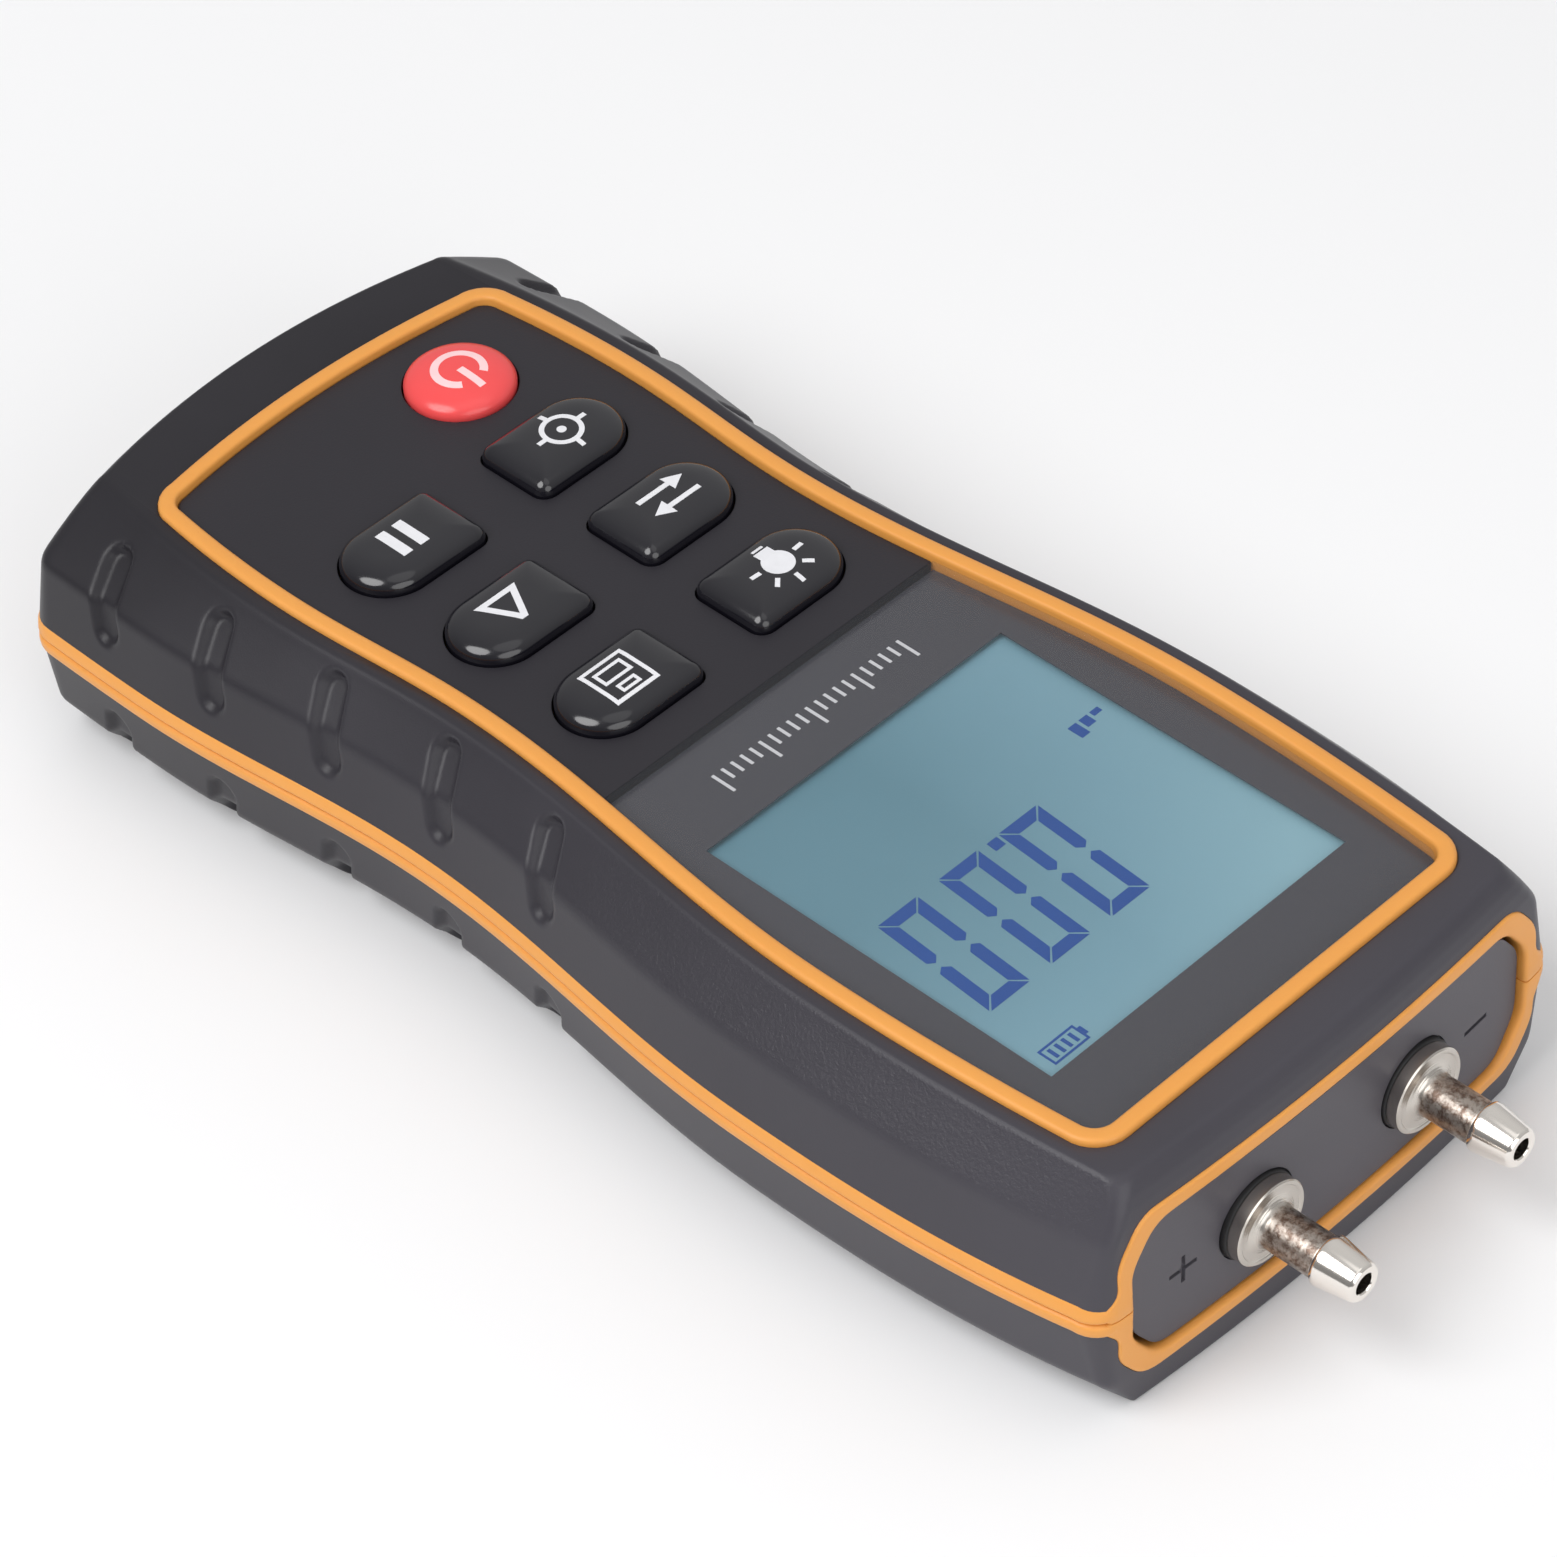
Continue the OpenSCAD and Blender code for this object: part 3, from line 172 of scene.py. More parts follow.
# A layer is thinner upwards at a crease and thicker inwards at a bevel than it is square to the wall
CREASE_SHARE = 0.4
BEVEL_SHARE = 1.25
CORNER_STEPS = 8
END_STEPS = 16
# Points along each side: many where slots are sunk, few elsewhere
side_steps = 440


def ease(t):
    """Smooth step from 0 to 1"""
    return (1 - math.cos(math.pi * min(max(t, 0), 1))) / 2


def half_width(y, ys, ws, power):
    """Half width of an outline at y, from its widths at five places"""
    if y < ys[1]:
        return ws[1] - (ws[1] - ws[0]) * ((ys[1] - y) / (ys[1] - ys[0])) ** 2
    if y < ys[2]:
        return ws[1] + (ws[2] - ws[1]) * ease((y - ys[1]) / (ys[2] - ys[1]))
    if y < ys[3]:
        return ws[2] + (ws[3] - ws[2]) * ease((y - ys[2]) / (ys[3] - ys[2]))
    return ws[3] - (ws[3] - ws[4]) * ((y - ys[3]) / (ys[4] - ys[3])) ** power


def arc(cx, cy, r, start, end, steps):
    """Points of an arc, from one angle in degrees to another"""
    angles = [math.radians(start + (end - start) * i / steps) for i in range(steps + 1)]
    return [(cx + r * math.cos(a), cy + r * math.sin(a)) for a in angles]


def outline(ys, ws, power, ends, bulges, radii):
    """Closed outline: bulged handle end, rounded corners, drawn-in sides, bulged barb end"""
    (y0, y1), (bulge0, bulge1), (r0, r1) = ends, bulges, radii
    s0, s1 = y0 + bulge0 + r0, y1 - bulge1 - r1
    x0 = half_width(s0, ys, ws, power) - r0
    x1 = half_width(s1, ys, ws, power) - r1
    half = [(x0 * i / END_STEPS, y0 + bulge0 * (i / END_STEPS) ** 2) for i in range(END_STEPS)]
    half += arc(x0, s0, r0, -90, 0, CORNER_STEPS)[:-1]
    side = [s0 + (s1 - s0) * i / side_steps for i in range(side_steps + 1)]
    half += [(half_width(y, ys, ws, power), y) for y in side]
    half += arc(x1, s1, r1, 0, 90, CORNER_STEPS)[1:]
    for i in range(1, END_STEPS + 1):
        u = 1 - i / END_STEPS
        half.append((x1 * u, y1 - bulge1 * u * u))
    return half + [(-x, y) for x, y in half[-2:0:-1]]


def body_outline(side, barb=None, handle=None):
    """Body outline drawn in at its sides and its two ends"""
    barb = side if barb is None else barb
    handle = side if handle is None else handle
    return outline(BODY_PLACES, [w - side for w in BODY_WIDTHS], BODY_POWER,
                   (-HALF_LENGTH + handle, HALF_LENGTH - barb), BODY_BULGES,
                   [max(r - side, 0.3) for r in BODY_CORNERS])


def ring_outline(inset):
    """Outline of the face ring drawn in by inset"""
    return outline(RING_PLACES, [w - inset for w in RING_WIDTHS], RING_POWER,
                   (RING_PLACES[0] + inset, RING_PLACES[4] - inset), RING_BULGES, [RING_CORNER - inset] * 2)


def top_edge(inset):
    """Upper edge of the bevel, outside the ring"""
    return outline(RING_PLACES, [w + 1.4 - inset for w in RING_WIDTHS], RING_POWER,
                   (-HALF_LENGTH + 2.1 + inset, HALF_LENGTH - 2.7 - inset), BODY_BULGES, TOP_CORNERS)


def raised(flat, z):
    """Loop of points at height z"""
    return [Vector((x, y, z)) for x, y in flat]


def drawn_in(draw, depth, share=1):
    """Body outline at a level's draw, a further depth inside, its sides by a share of the depth"""
    return body_outline(draw[0] + depth * share, draw[1] + depth, draw[2] + depth)


def side_inset(z):
    """How far the side wall has drawn in at height z"""
    if z > JOINT:
        return UPPER_DRAW[0] / (UPPER_CREASE - JOINT) * (z - JOINT)
    return LOWER_DRAW[0] / (JOINT - LOWER_CREASE) * (JOINT - z)


def wall_loop(z, depth):
    """Loop of the side wall at height z, drawn in by depth"""
    return raised(drawn_in((side_inset(z), 0, 0), depth), z)


def rounded(loops, reaches, steps=3, share=0.45):
    """Loops in which each one with a reach is drawn as an arc, up to a share of the way to its neighbours"""
    drawn = []
    for k, loop in enumerate(loops):
        if not reaches.get(k):
            drawn.append(loop)
            continue
        before, after = loops[k - 1], loops[(k + 1) % len(loops)]
        for s in range(steps + 1):
            t = s / steps
            bow = []
            for p, a, b in zip(loop, before, after):
                left = p + (a - p).normalized() * min(reaches[k], (a - p).length * share)
                right = p + (b - p).normalized() * min(reaches[k], (b - p).length * share)
                bow.append(left * (1 - t) ** 2 + p * 2 * t * (1 - t) + right * t * t)
            drawn.append(bow)
    return drawn


# How far the bevel has come from the crease to the ring: across the side, across an end, and upwards
BEVEL_SHARES = ((0.25, 0.03, 0.25), (0.5, 0.13, 0.5), (0.7, 0.28, 0.7), (0.84, 0.46, 0.845),
                (0.92, 0.63, 0.935), (0.97, 0.8, 0.98), (1.02, 0.97, 0.998), (1.07, 1.06, 1))


def upper_loops(depth, z0):
    """Outer faces of the upper half drawn in by depth, from z0 up to the flat border of the ring"""
    crease = drawn_in(UPPER_DRAW, depth)
    edge = top_edge(depth * BEVEL_SHARE)
    z1 = UPPER_CREASE - depth * CREASE_SHARE
    loops = [wall_loop(z0, depth), raised(crease, z1)]
    for aside, along, up in BEVEL_SHARES:
        loops.append([Vector((p[0] + (q[0] - p[0]) * aside, p[1] + (q[1] - p[1]) * along,
                              z1 + (FACE - depth - z1) * up)) for p, q in zip(crease, edge)])
    return rounded(loops, {1: 0.7})


def pick(piece):
    """Makes the piece the only selected one"""
    bpy.ops.object.select_all(action="DESELECT")
    piece.select_set(True)
    bpy.context.view_layer.objects.active = piece


def skin(name, loops, closed=False):
    """Solid through loops in millimetres: a ring is laid on the first and extruded from each to the next"""
    count = len(loops[0])
    bpy.ops.object.select_all(action="DESELECT")
    bpy.ops.mesh.primitive_circle_add(vertices=count, radius=MM, fill_type="NOTHING")
    piece = bpy.context.object
    piece.name = piece.data.name = name
    bpy.ops.object.mode_set(mode="EDIT")
    mesh = bmesh.from_edit_mesh(piece.data)
    mesh.verts.ensure_lookup_table()
    ring = list(range(count))
    for i, point in zip(ring, loops[0]):
        mesh.verts[i].co = point * MM
    for loop in loops[1:] + (loops[:1] if closed else []):
        bpy.ops.mesh.extrude_region_move()
        mesh = bmesh.from_edit_mesh(piece.data)
        mesh.verts.ensure_lookup_table()
        first_new = len(mesh.verts) - count
        ring = [next(v.index for v in (e.other_vert(mesh.verts[i]) for e in mesh.verts[i].link_edges)
                     if v.index >= first_new) for i in ring]
        for i, point in zip(ring, loop):
            mesh.verts[i].co = point * MM
    if closed:
        bpy.ops.mesh.select_all(action="SELECT")
        bpy.ops.mesh.remove_doubles(threshold=1e-7)
    else:
        bpy.ops.mesh.edge_face_add()
        bpy.ops.mesh.select_all(action="DESELECT")
        mesh = bmesh.from_edit_mesh(piece.data)
        mesh.verts.ensure_lookup_table()
        for i in range(count):
            mesh.verts[i].select = True
        mesh.select_flush(True)
        bpy.ops.mesh.edge_face_add()
    bpy.ops.mesh.select_all(action="SELECT")
    bpy.ops.mesh.normals_make_consistent(inside=False)
    bpy.ops.object.mode_set(mode="OBJECT")
    return piece


def apply_step(piece, step):
    """Applies one modifier"""
    pick(piece)
    bpy.ops.object.modifier_apply(modifier=step.name)


def carve(piece, tool, operation="DIFFERENCE", crossing=False):
    """Cuts the tool out of the piece, or joins it on, and removes the tool; crossing if its parts cross"""
    step = piece.modifiers.new("carve", "BOOLEAN")
    step.operation = operation
    step.object = tool
    step.solver = "EXACT"
    step.use_self = crossing
    apply_step(piece, step)
    bpy.data.objects.remove(tool)


def smooth(piece, angle=40, weighted=False):
    """Smooth shading but at sharp edges, with large faces kept flat if weighted"""
    pick(piece)
    bpy.ops.object.shade_smooth_by_angle(angle=math.radians(angle))
    if weighted:
        step = piece.modifiers.new("even_shading", "WEIGHTED_NORMAL")
        step.keep_sharp = True
        apply_step(piece, step)


def put_on(piece, material, slot, body, *replaced):
    """Material, body and replaced nodes of a finished piece; its slot is not used"""
    piece.data.materials.clear()
    piece.data.materials.append(material)
    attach(piece, body)
    if replaced:
        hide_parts(*replaced)


# Slots: rounded troughs across the crease with soft rims. SLOT_FROM and SLOT_TO are their ends on the
# bevel and on the side, SLOT_RIM how far the rim's rounding reaches both ways, SLOT_LEAN their slant in
# degrees and SLOT_SPAN how far along the body each reaches.
SLOT_WIDTH = 2.9
SLOT_DEPTH = 0.8
SLOT_FROM = -4.5
SLOT_TO = 2.1
SLOT_RIM = 0.5
SLOT_LEAN = 18
SLOT_SPAN = 8
SLOT_GRID = 0.33
SLOT_PLACES = [1.1 - 14.9 * i for i in range(5)]


def dense(loops, like):
    """Loops with further ones between them, so many that those of like are SLOT_GRID apart"""
    rows = [loops[0]]
    middle = side_steps // 3
    for k in range(len(loops) - 1):
        count = max(1, round((like[k + 1][middle] - like[k][middle]).length / SLOT_GRID))
        rows += [[a.lerp(b, i / count) for a, b in zip(loops[k], loops[k + 1])] for i in range(1, count + 1)]
    return rows


def slotted(outer, inner, level, inset, turn, lean):
    """Outer faces sunk towards the inner ones at the slots, which cross the crease at its level and inset,
    tilted by turn degrees, and lean one way or the other"""
    start, end = (SLOT_FROM, SLOT_TO) if lean > 0 else (-SLOT_TO, -SLOT_FROM)
    frames = []
    for y in SLOT_PLACES:
        x = half_width(y, BODY_PLACES, BODY_WIDTHS, BODY_POWER) - inset
        place = (Matrix.Translation((x, y, level)) @ Matrix.Rotation(math.radians(turn), 4, "Y")
                 @ Matrix.Rotation(math.radians(lean * SLOT_LEAN), 4, "Z"))
        frames.append((y, place.inverted()))
    rows = dense(outer, outer)
    for row, low in zip(rows, dense(inner, outer)):
        for k, point in enumerate(row):
            for y, back in frames:
                if abs(point.y - y) > SLOT_SPAN:
                    continue
                local = back @ Vector((abs(point.x), point.y, point.z))
                off = math.hypot(local.x - min(max(local.x, start), end), local.y) - SLOT_WIDTH / 2
                if off < SLOT_RIM:
                    row[k] = point.lerp(low[k], ease((SLOT_RIM - off) / (2 * SLOT_RIM)))
                    break
    return rows


# Opening for the end panel and the frame round it: half sizes, and the cut-off corners across and upwards
PANEL_Z = 14
PANEL_SEAT = 68.4
PANEL_HALF = (26.8, 8.4)
PANEL_CUT = (3.1, 4.2)
FRAME_STRIP = 1.9


def rounded_flat(flat, reaches):
    """Flat outline with its corners rounded"""
    loops = [[Vector((x, y, 0))] for x, y in flat]
    drawn = []
    for k in range(len(loops)):
        near = rounded([loops[k - 1], loops[k], loops[(k + 1) % len(loops)]], {1: reaches[k]}, 5)[1:-1]
        drawn += [(row[0].x, row[0].y) for row in near]
    return drawn


def frame_flat(grow, flare=1.2):
    """Outline of the end frame, grown from the panel's; it flares out into the stripe on both sides"""
    (w, h), (cut, rise) = [half + grow for half in PANEL_HALF], PANEL_CUT
    low, high = STRIPE_BOTTOM - PANEL_Z, STRIPE_TOP - PANEL_Z
    spread = flare + 0.1
    right = [(w - cut, -h), (w, -h + rise), (w, low - spread), (w + flare, low), (w + flare, high),
             (w, high + spread), (w, h - rise), (w - cut, h)]
    return rounded_flat(right + [(-x, z) for x, z in right[::-1]], [2, 1.8, 1, 0, 0, 1, 1.8, 2] * 2)


def across(flat, y0, y1=HALF_LENGTH + 1, z=PANEL_Z):
    """Solid from a flat outline in X and Z, between two places along the body"""
    return skin("tool", [[Vector((x, y, z + h)) for x, h in flat] for y in (y0, y1)])


def shell_loops():
    """Faces of the hard upper shell under the grip, from the stripe up to just outside the ring"""
    return [wall_loop(STRIPE_TOP, GRIP_LAYER),
            raised(drawn_in(UPPER_DRAW, GRIP_LAYER), UPPER_CREASE - GRIP_LAYER * CREASE_SHARE),
            raised(ring_outline(-0.35), FACE_TOP)]


outside = slotted(upper_loops(0, STRIPE_TOP), upper_loops(SLOT_DEPTH, STRIPE_TOP), UPPER_CREASE,
                  UPPER_DRAW[0], 45, 1)
border = rounded([outside[-1], raised(ring_outline(0), FACE), raised(ring_outline(0), FACE_TOP)], {1: 0.2})
front_grip = skin("front_grip_skin", outside + border[1:] + shell_loops()[::-1], closed=True)
carve(front_grip, across(frame_flat(FRAME_STRIP + 0.03), PANEL_SEAT - 1))
smooth(front_grip, 50)

# Soft-touch elastomer: nearly black, satin, with a broad soft sheen; spark-eroded grain of 0.3 mm beside
# the display, and a much finer one elsewhere, both drawn slightly coarse so that they show
soft_touch = new_material("moulded TPE")
tree = soft_touch.node_tree
place = add_node(tree, "TexCoord").outputs["Object"]
point = add_node(tree, "SeparateXYZ", i0=place)
y, z = point.outputs["Y"], point.outputs["Z"]
# The coarse grain's zone: forward of the slots, from the crease up to the ring and short of the frame
zone = add_node(tree, "MapRange", {"From Min": 2 * MM, "From Max": 8 * MM}, Value=y)
for start, full, source in ((22.7, 23.1, z), (27.9, 27.6, z), (69.5, 68.5, y)):
    limit = add_node(tree, "MapRange", {"From Min": start * MM, "From Max": full * MM}, Value=source)
    zone = add_node(tree, "Math", {"operation": "MULTIPLY"}, i0=zone, i1=limit)
grain = add_node(tree, "TexNoise", {"Scale": 2600, "Detail": 2, "Roughness": 0.6}, Vector=place)
fine = add_node(tree, "TexNoise", {"Scale": 6000, "Detail": 1}, Vector=place)
coarse_part = add_node(tree, "Math", {"operation": "MULTIPLY"}, i0=grain, i1=zone)
relief = add_node(tree, "Math", {"operation": "MULTIPLY_ADD", 1: 0.12}, i0=fine, i2=coarse_part)
bump = add_node(tree, "Bump", {"Strength": 0.55, "Distance": 0.12 * MM}, Height=relief)
clouds = add_node(tree, "TexNoise", {"Scale": 45, "Detail": 3}, Vector=place)
shine = add_node(tree, "MapRange", {"To Min": 0.34, "To Max": 0.46}, Value=clouds)
# Painted light: the tone grows lighter towards the barb end, standing in for the pale room reflected there
painted_light_to_barbs = add_node(tree, "MapRange", {"From Min": -60 * MM, "From Max": 75 * MM, "To Max": 0.85}, Value=y)
clouds_and_painted_light = add_node(tree, "Math", {"operation": "MULTIPLY_ADD", 1: 0.3}, i0=clouds, i2=painted_light_to_barbs)
tone = add_node(tree, "ValToRGB", {"ramp": ("#1B191E", "#424047")}, Fac=clouds_and_painted_light)
surface = add_node(tree, "BsdfPrincipled", {"Specular IOR Level": 0.34}, Base_Color=tone, Roughness=shine,
                   Normal=bump)
add_node(tree, "OutputMaterial", Surface=surface)
put_on(front_grip, soft_touch, "black_tpe", "case", "front_grip")

# Upper shell: orange ABS, injection moulded. Only its face ring, its half of the stripe at the joint and
# its half of the frame round the end panel show; the rest lies under the grip.
STRIPE_PROUD = 0.2
SHELL_WALL = 1.8
FACE_BOTTOM = 24.6
RING_STRIP = 1.85
RING_TOP = 28.7
GROOVE_DEPTH = 0.45
GROOVE_HALF = 0.28
BACK_DRAW = (5, 0.6, 1.2)
BACK_BORDER = 0.6
PANEL_CORNER = 1.6
side_steps = 110
wall = GRIP_LAYER + SHELL_WALL
inside = [raised(ring_outline(1.2), FACE_BOTTOM),
          raised(body_outline(UPPER_DRAW[0] + wall, wall, wall), UPPER_CREASE - wall * CREASE_SHARE),
          raised(body_outline(wall), JOINT)]
proud = body_outline(-STRIPE_PROUD)
proud_top = drawn_in((side_inset(STRIPE_TOP), 0, 0), -STRIPE_PROUD)
stripe = [raised(body_outline(GROOVE_DEPTH), JOINT), raised(proud, JOINT + GROOVE_HALF),
          raised(proud_top, STRIPE_TOP - 0.3), wall_loop(STRIPE_TOP, 0)]
ring = [raised(ring_outline(inset), z) for inset, z in
        ((0, FACE_TOP), (0, RING_TOP), (RING_STRIP, RING_TOP), (RING_STRIP, FACE_TOP))]
profile = inside + rounded(stripe, {1: 0.3, 2: 0.5}) + shell_loops()
front_shell = skin("front_shell_body", profile + rounded(ring, {1: 0.6, 2: 0.5}))


def slab(name, flat, z0, z1):
    """Flat outline as a solid between two heights"""
    return skin(name, [raised(flat, z0), raised(flat, z1)])


def bar(x0, x1, y0, y1):
    """Upright rectangle as a flat outline"""
    return [(x0, y0), (x1, y0), (x1, y1), (x0, y1)]


def box_tool(x0, x1, y0, y1, z0, z1):
    """Plain block used as a cutter"""
    return slab("tool", bar(x0, x1, y0, y1), z0, z1)


def lower_loops(depth, z0):
    """Outer faces of the lower half drawn in by depth, from the back face up to z0"""
    loops = [raised(drawn_in([draw + BACK_BORDER for draw in BACK_DRAW], depth, BEVEL_SHARE), depth),
             raised(drawn_in(BACK_DRAW, depth, BEVEL_SHARE), depth),
             raised(drawn_in(LOWER_DRAW, depth), LOWER_CREASE + depth * CREASE_SHARE),
             wall_loop(z0, depth)]
    return rounded(loops, {1: 0.5, 2: 0.7})


def soften(piece, width, angle):
    """Breaks the edges sharper than angle by width millimetres"""
    step = piece.modifiers.new("soften", "BEVEL")
    step.width = width * MM
    step.segments = 2
    step.limit_method = "ANGLE"
    step.angle_limit = math.radians(angle)
    apply_step(piece, step)


def octagon(grow):
    """Outline of the end panel grown by so much, its corners rounded"""
    (w, h), (cut, rise) = [half + grow for half in PANEL_HALF], PANEL_CUT
    half = [(w, -h + rise), (w, h - rise), (w - cut, h), (-w + cut, h)]
    return rounded_flat(half + [(-x, -z) for x, z in half], [PANEL_CORNER] * 8)


def frame_half(away):
    """Lip round the panel, laid on the body's end by rays from points about 2 mm apart, without the half
    between the away heights"""
    skins = lower_loops(-STRIPE_PROUD - 0.05, JOINT) + upper_loops(-STRIPE_PROUD - 0.05, JOINT)[1:]
    body = skin("body", skins)
    bpy.context.view_layer.update()
    rims = []
    outer_flat = frame_flat(FRAME_STRIP)
    parts = [max(1, round(math.dist(a, b) / 2)) for a, b in zip(outer_flat, outer_flat[1:] + outer_flat[:1])]
    for flat in (outer_flat, frame_flat(0.15, 0)):
        starts = [Vector((x * MM, 0.1, (PANEL_Z + z) * MM)) for x, z in flat]
        rims.append([a.lerp(b, i / n) for a, b, n in zip(starts, starts[1:] + starts[:1], parts)
                     for i in range(n)])
    loops = [[body.ray_cast(a.lerp(b, t), (0, -1, 0))[1] / MM for a, b in zip(*rims)]
             for t in (0, 0.3, 0.62, 1)]
    bpy.data.objects.remove(body)
    backs = [[Vector((x, PANEL_SEAT, z)) for x, y, z in loop] for loop in (loops[0], loops[-1])]
    lip = skin("lip", rounded([backs[0], *loops, backs[1]], {1: 0.35, 4: 0.6}, 4, 0.9), closed=True)
    carve(lip, box_tool(-40, 40, 60, 80, *away))
    soften(lip, 0.2, 60)
    return lip


# The two half frames leave a fine line between them, as the half shells do
FRAME_LINE = 0.08
carve(front_shell, across(octagon(1), PANEL_SEAT - 1.5))
carve(front_shell, frame_half((0, JOINT + FRAME_LINE)), "UNION")

# Keys as the face takes them: D-shaped ones in two columns, straight on their inner side, and a round one
KEY_PLACES = [(side * 10.6, y, side) for y in (-7.5, -22.4, -37.3) for side in (-1, 1)]
KEY_HALF = 4.7
KEY_STRAIGHT = (-6.9, 2.2)
KEY_CORNER = 1.3
POWER_PLACE = (-10.6, -51.8)
POWER_RADIUS = 5.6


def key_flat(inset, side):
    """Outline of a D-shaped key about its middle, its round end outwards"""
    h = KEY_HALF - inset
    x0, x1 = KEY_STRAIGHT[0] + inset, KEY_STRAIGHT[1]
    r = max(KEY_CORNER - inset, 0.3)
    flat = arc(x1, 0, h, -90, 90, 32) + arc(x0 + r, h - r, r, 90, 180, 5)
    flat += arc(x0 + r, -h + r, r, 180, 270, 5)
    return [(side * x, y) for x, y in flat]


def disc_flat(r, cx=0, cy=0, steps=32):
    """Circle as a flat outline"""
    return arc(cx, cy, r, 0, 360, steps)[:-1]


def shifted(flat, x, y):
    """Flat outline moved to a place"""
    return [(x + u, y + v) for u, v in flat]


def join(pieces):
    """Joins pieces into the first of them"""
    bpy.ops.object.select_all(action="DESELECT")
    for piece in pieces:
        piece.select_set(True)
    bpy.context.view_layer.objects.active = pieces[0]
    bpy.ops.object.join()
    return pieces[0]


def slabs(name, flats, z0, z1):
    """Flat outlines as one object between two heights"""
    return join([slab(name, flat, z0, z1) for flat in flats])


def key_holes(z0, z1, gap=0.3):
    """Cutter for all the key holes"""
    flats = [shifted(key_flat(-gap, side), x, y) for x, y, side in KEY_PLACES]
    return slabs("tool", flats + [disc_flat(POWER_RADIUS + gap, *POWER_PLACE, 64)], z0, z1)


DISPLAY_OPENING = (-23.05, 23.05, 8.4, 60.3)
carve(front_shell, box_tool(*DISPLAY_OPENING, FACE_BOTTOM - 1, FACE_TOP + 1))
carve(front_shell, key_holes(FACE_BOTTOM - 1, FACE_TOP + 1, 0.6))
soften(front_shell, 0.2, 45)
smooth(front_shell, 50)


def clouded(name, low, high, scale, roughness, detail=3, grain=None, **settings):
    """Finish with a faint cloud in its colour, and in its gloss where the roughness is a pair; the grain is
    the scale, detail and strength of a fine relief"""
    material = new_material(name)
    tree = material.node_tree
    place = add_node(tree, "TexCoord").outputs["Object"]
    clouds = add_node(tree, "TexNoise", {"Scale": scale, "Detail": detail}, Vector=place)
    links = {"Base_Color": add_node(tree, "ValToRGB", {"ramp": (low, high)}, Fac=clouds)}
    values = {key.replace("_", " "): value for key, value in settings.items()}
    if isinstance(roughness, tuple):
        gloss = {"To Min": roughness[0], "To Max": roughness[1]}
        links["Roughness"] = add_node(tree, "MapRange", gloss, Value=clouds)
    else:
        values["Roughness"] = roughness
    if grain:
        fine = add_node(tree, "TexNoise", {"Scale": grain[0], "Detail": grain[1]}, Vector=place)
        links["Normal"] = add_node(tree, "Bump", {"Strength": grain[2], "Distance": 0.05 * MM}, Height=fine)
    surface = add_node(tree, "BsdfPrincipled", values, **links)
    add_node(tree, "OutputMaterial", Surface=surface)
    return material


# Orange ABS: satin, a touch translucent at thin edges, with the fine grain of a spark-eroded mould
orange_abs = clouded("moulded ABS, orange", "#E09847", "#E6A04F", 60, (0.36, 0.46), grain=(5200, 1, 0.12),
                     Specular_IOR_Level=0.4, Subsurface_Weight=0.05, Subsurface_Scale=0.001,
                     Subsurface_Radius=(1, 0.5, 0.2))
put_on(front_shell, orange_abs, "orange_abs", "case", "front_shell")

# Lower shell: the other half of the orange ABS case, with the lower stripe, the lower end frame, the
# battery bay and the screw bosses. Four screws through it hold the case together.
BOSSES = ((22, 64.4), (-22, 64.4), (23, -63.5), (-23, -63.5))
COVER_HALF = 17.9
COVER_Y = (-64.4, -12.5)
COVER_GAP = 0.3
BAY_HEIGHT = 14.6
BAY_WALL = 1.4
BAY_RIM = 1.6


def under_loops():
    """Faces of the hard lower shell under the grip, from the stripe down"""
    return [wall_loop(STRIPE_BOTTOM, GRIP_LAYER),
            raised(drawn_in(LOWER_DRAW, GRIP_LAYER), LOWER_CREASE + GRIP_LAYER * CREASE_SHARE),
            raised(drawn_in(BACK_DRAW, GRIP_LAYER, BEVEL_SHARE), GRIP_LAYER)]


def discs(r, z0, z1):
    """Round cutters or bosses at the case screws"""
    return slabs("tool", [disc_flat(r, x, y, 40) for x, y in BOSSES], z0, z1)


def cover_block(grow, z0, z1):
    """Block over the battery cover, larger by grow on each side"""
    return box_tool(-COVER_HALF - grow, COVER_HALF + grow, COVER_Y[0] - grow, COVER_Y[1] + grow, z0, z1)


stripe = [wall_loop(STRIPE_BOTTOM, 0), raised(proud, STRIPE_BOTTOM + 0.3),
          raised(proud, JOINT - GROOVE_HALF), raised(body_outline(GROOVE_DEPTH), JOINT)]
inside = [raised(body_outline(wall), JOINT),
          raised(body_outline(LOWER_DRAW[0] + wall, wall, wall), LOWER_CREASE + wall * CREASE_SHARE),
          raised(drawn_in(BACK_DRAW, wall), wall)]
rear_shell = skin("rear_shell_body", under_loops()[::-1] + rounded(stripe, {1: 0.5, 2: 0.3}) + inside)
carve(rear_shell, across(octagon(1), PANEL_SEAT - 1.5))
carve(rear_shell, frame_half((JOINT - FRAME_LINE, 30)), "UNION")
carve(rear_shell, cover_block(COVER_GAP + BAY_RIM, 0, wall), "UNION")
carve(rear_shell, cover_block(0, 1.5, BAY_HEIGHT), "UNION")
carve(rear_shell, discs(3, 1.65, 10), "UNION")
carve(rear_shell, cover_block(-BAY_WALL, -1, BAY_HEIGHT - BAY_WALL))
carve(rear_shell, cover_block(COVER_GAP, -1, 2))
carve(rear_shell, discs(1.4, -1, 11))
carve(rear_shell, discs(2.7, -1, 2.8))
soften(rear_shell, 0.2, 45)
smooth(rear_shell, 50)
put_on(rear_shell, orange_abs, "orange_abs", "case", "rear_shell")

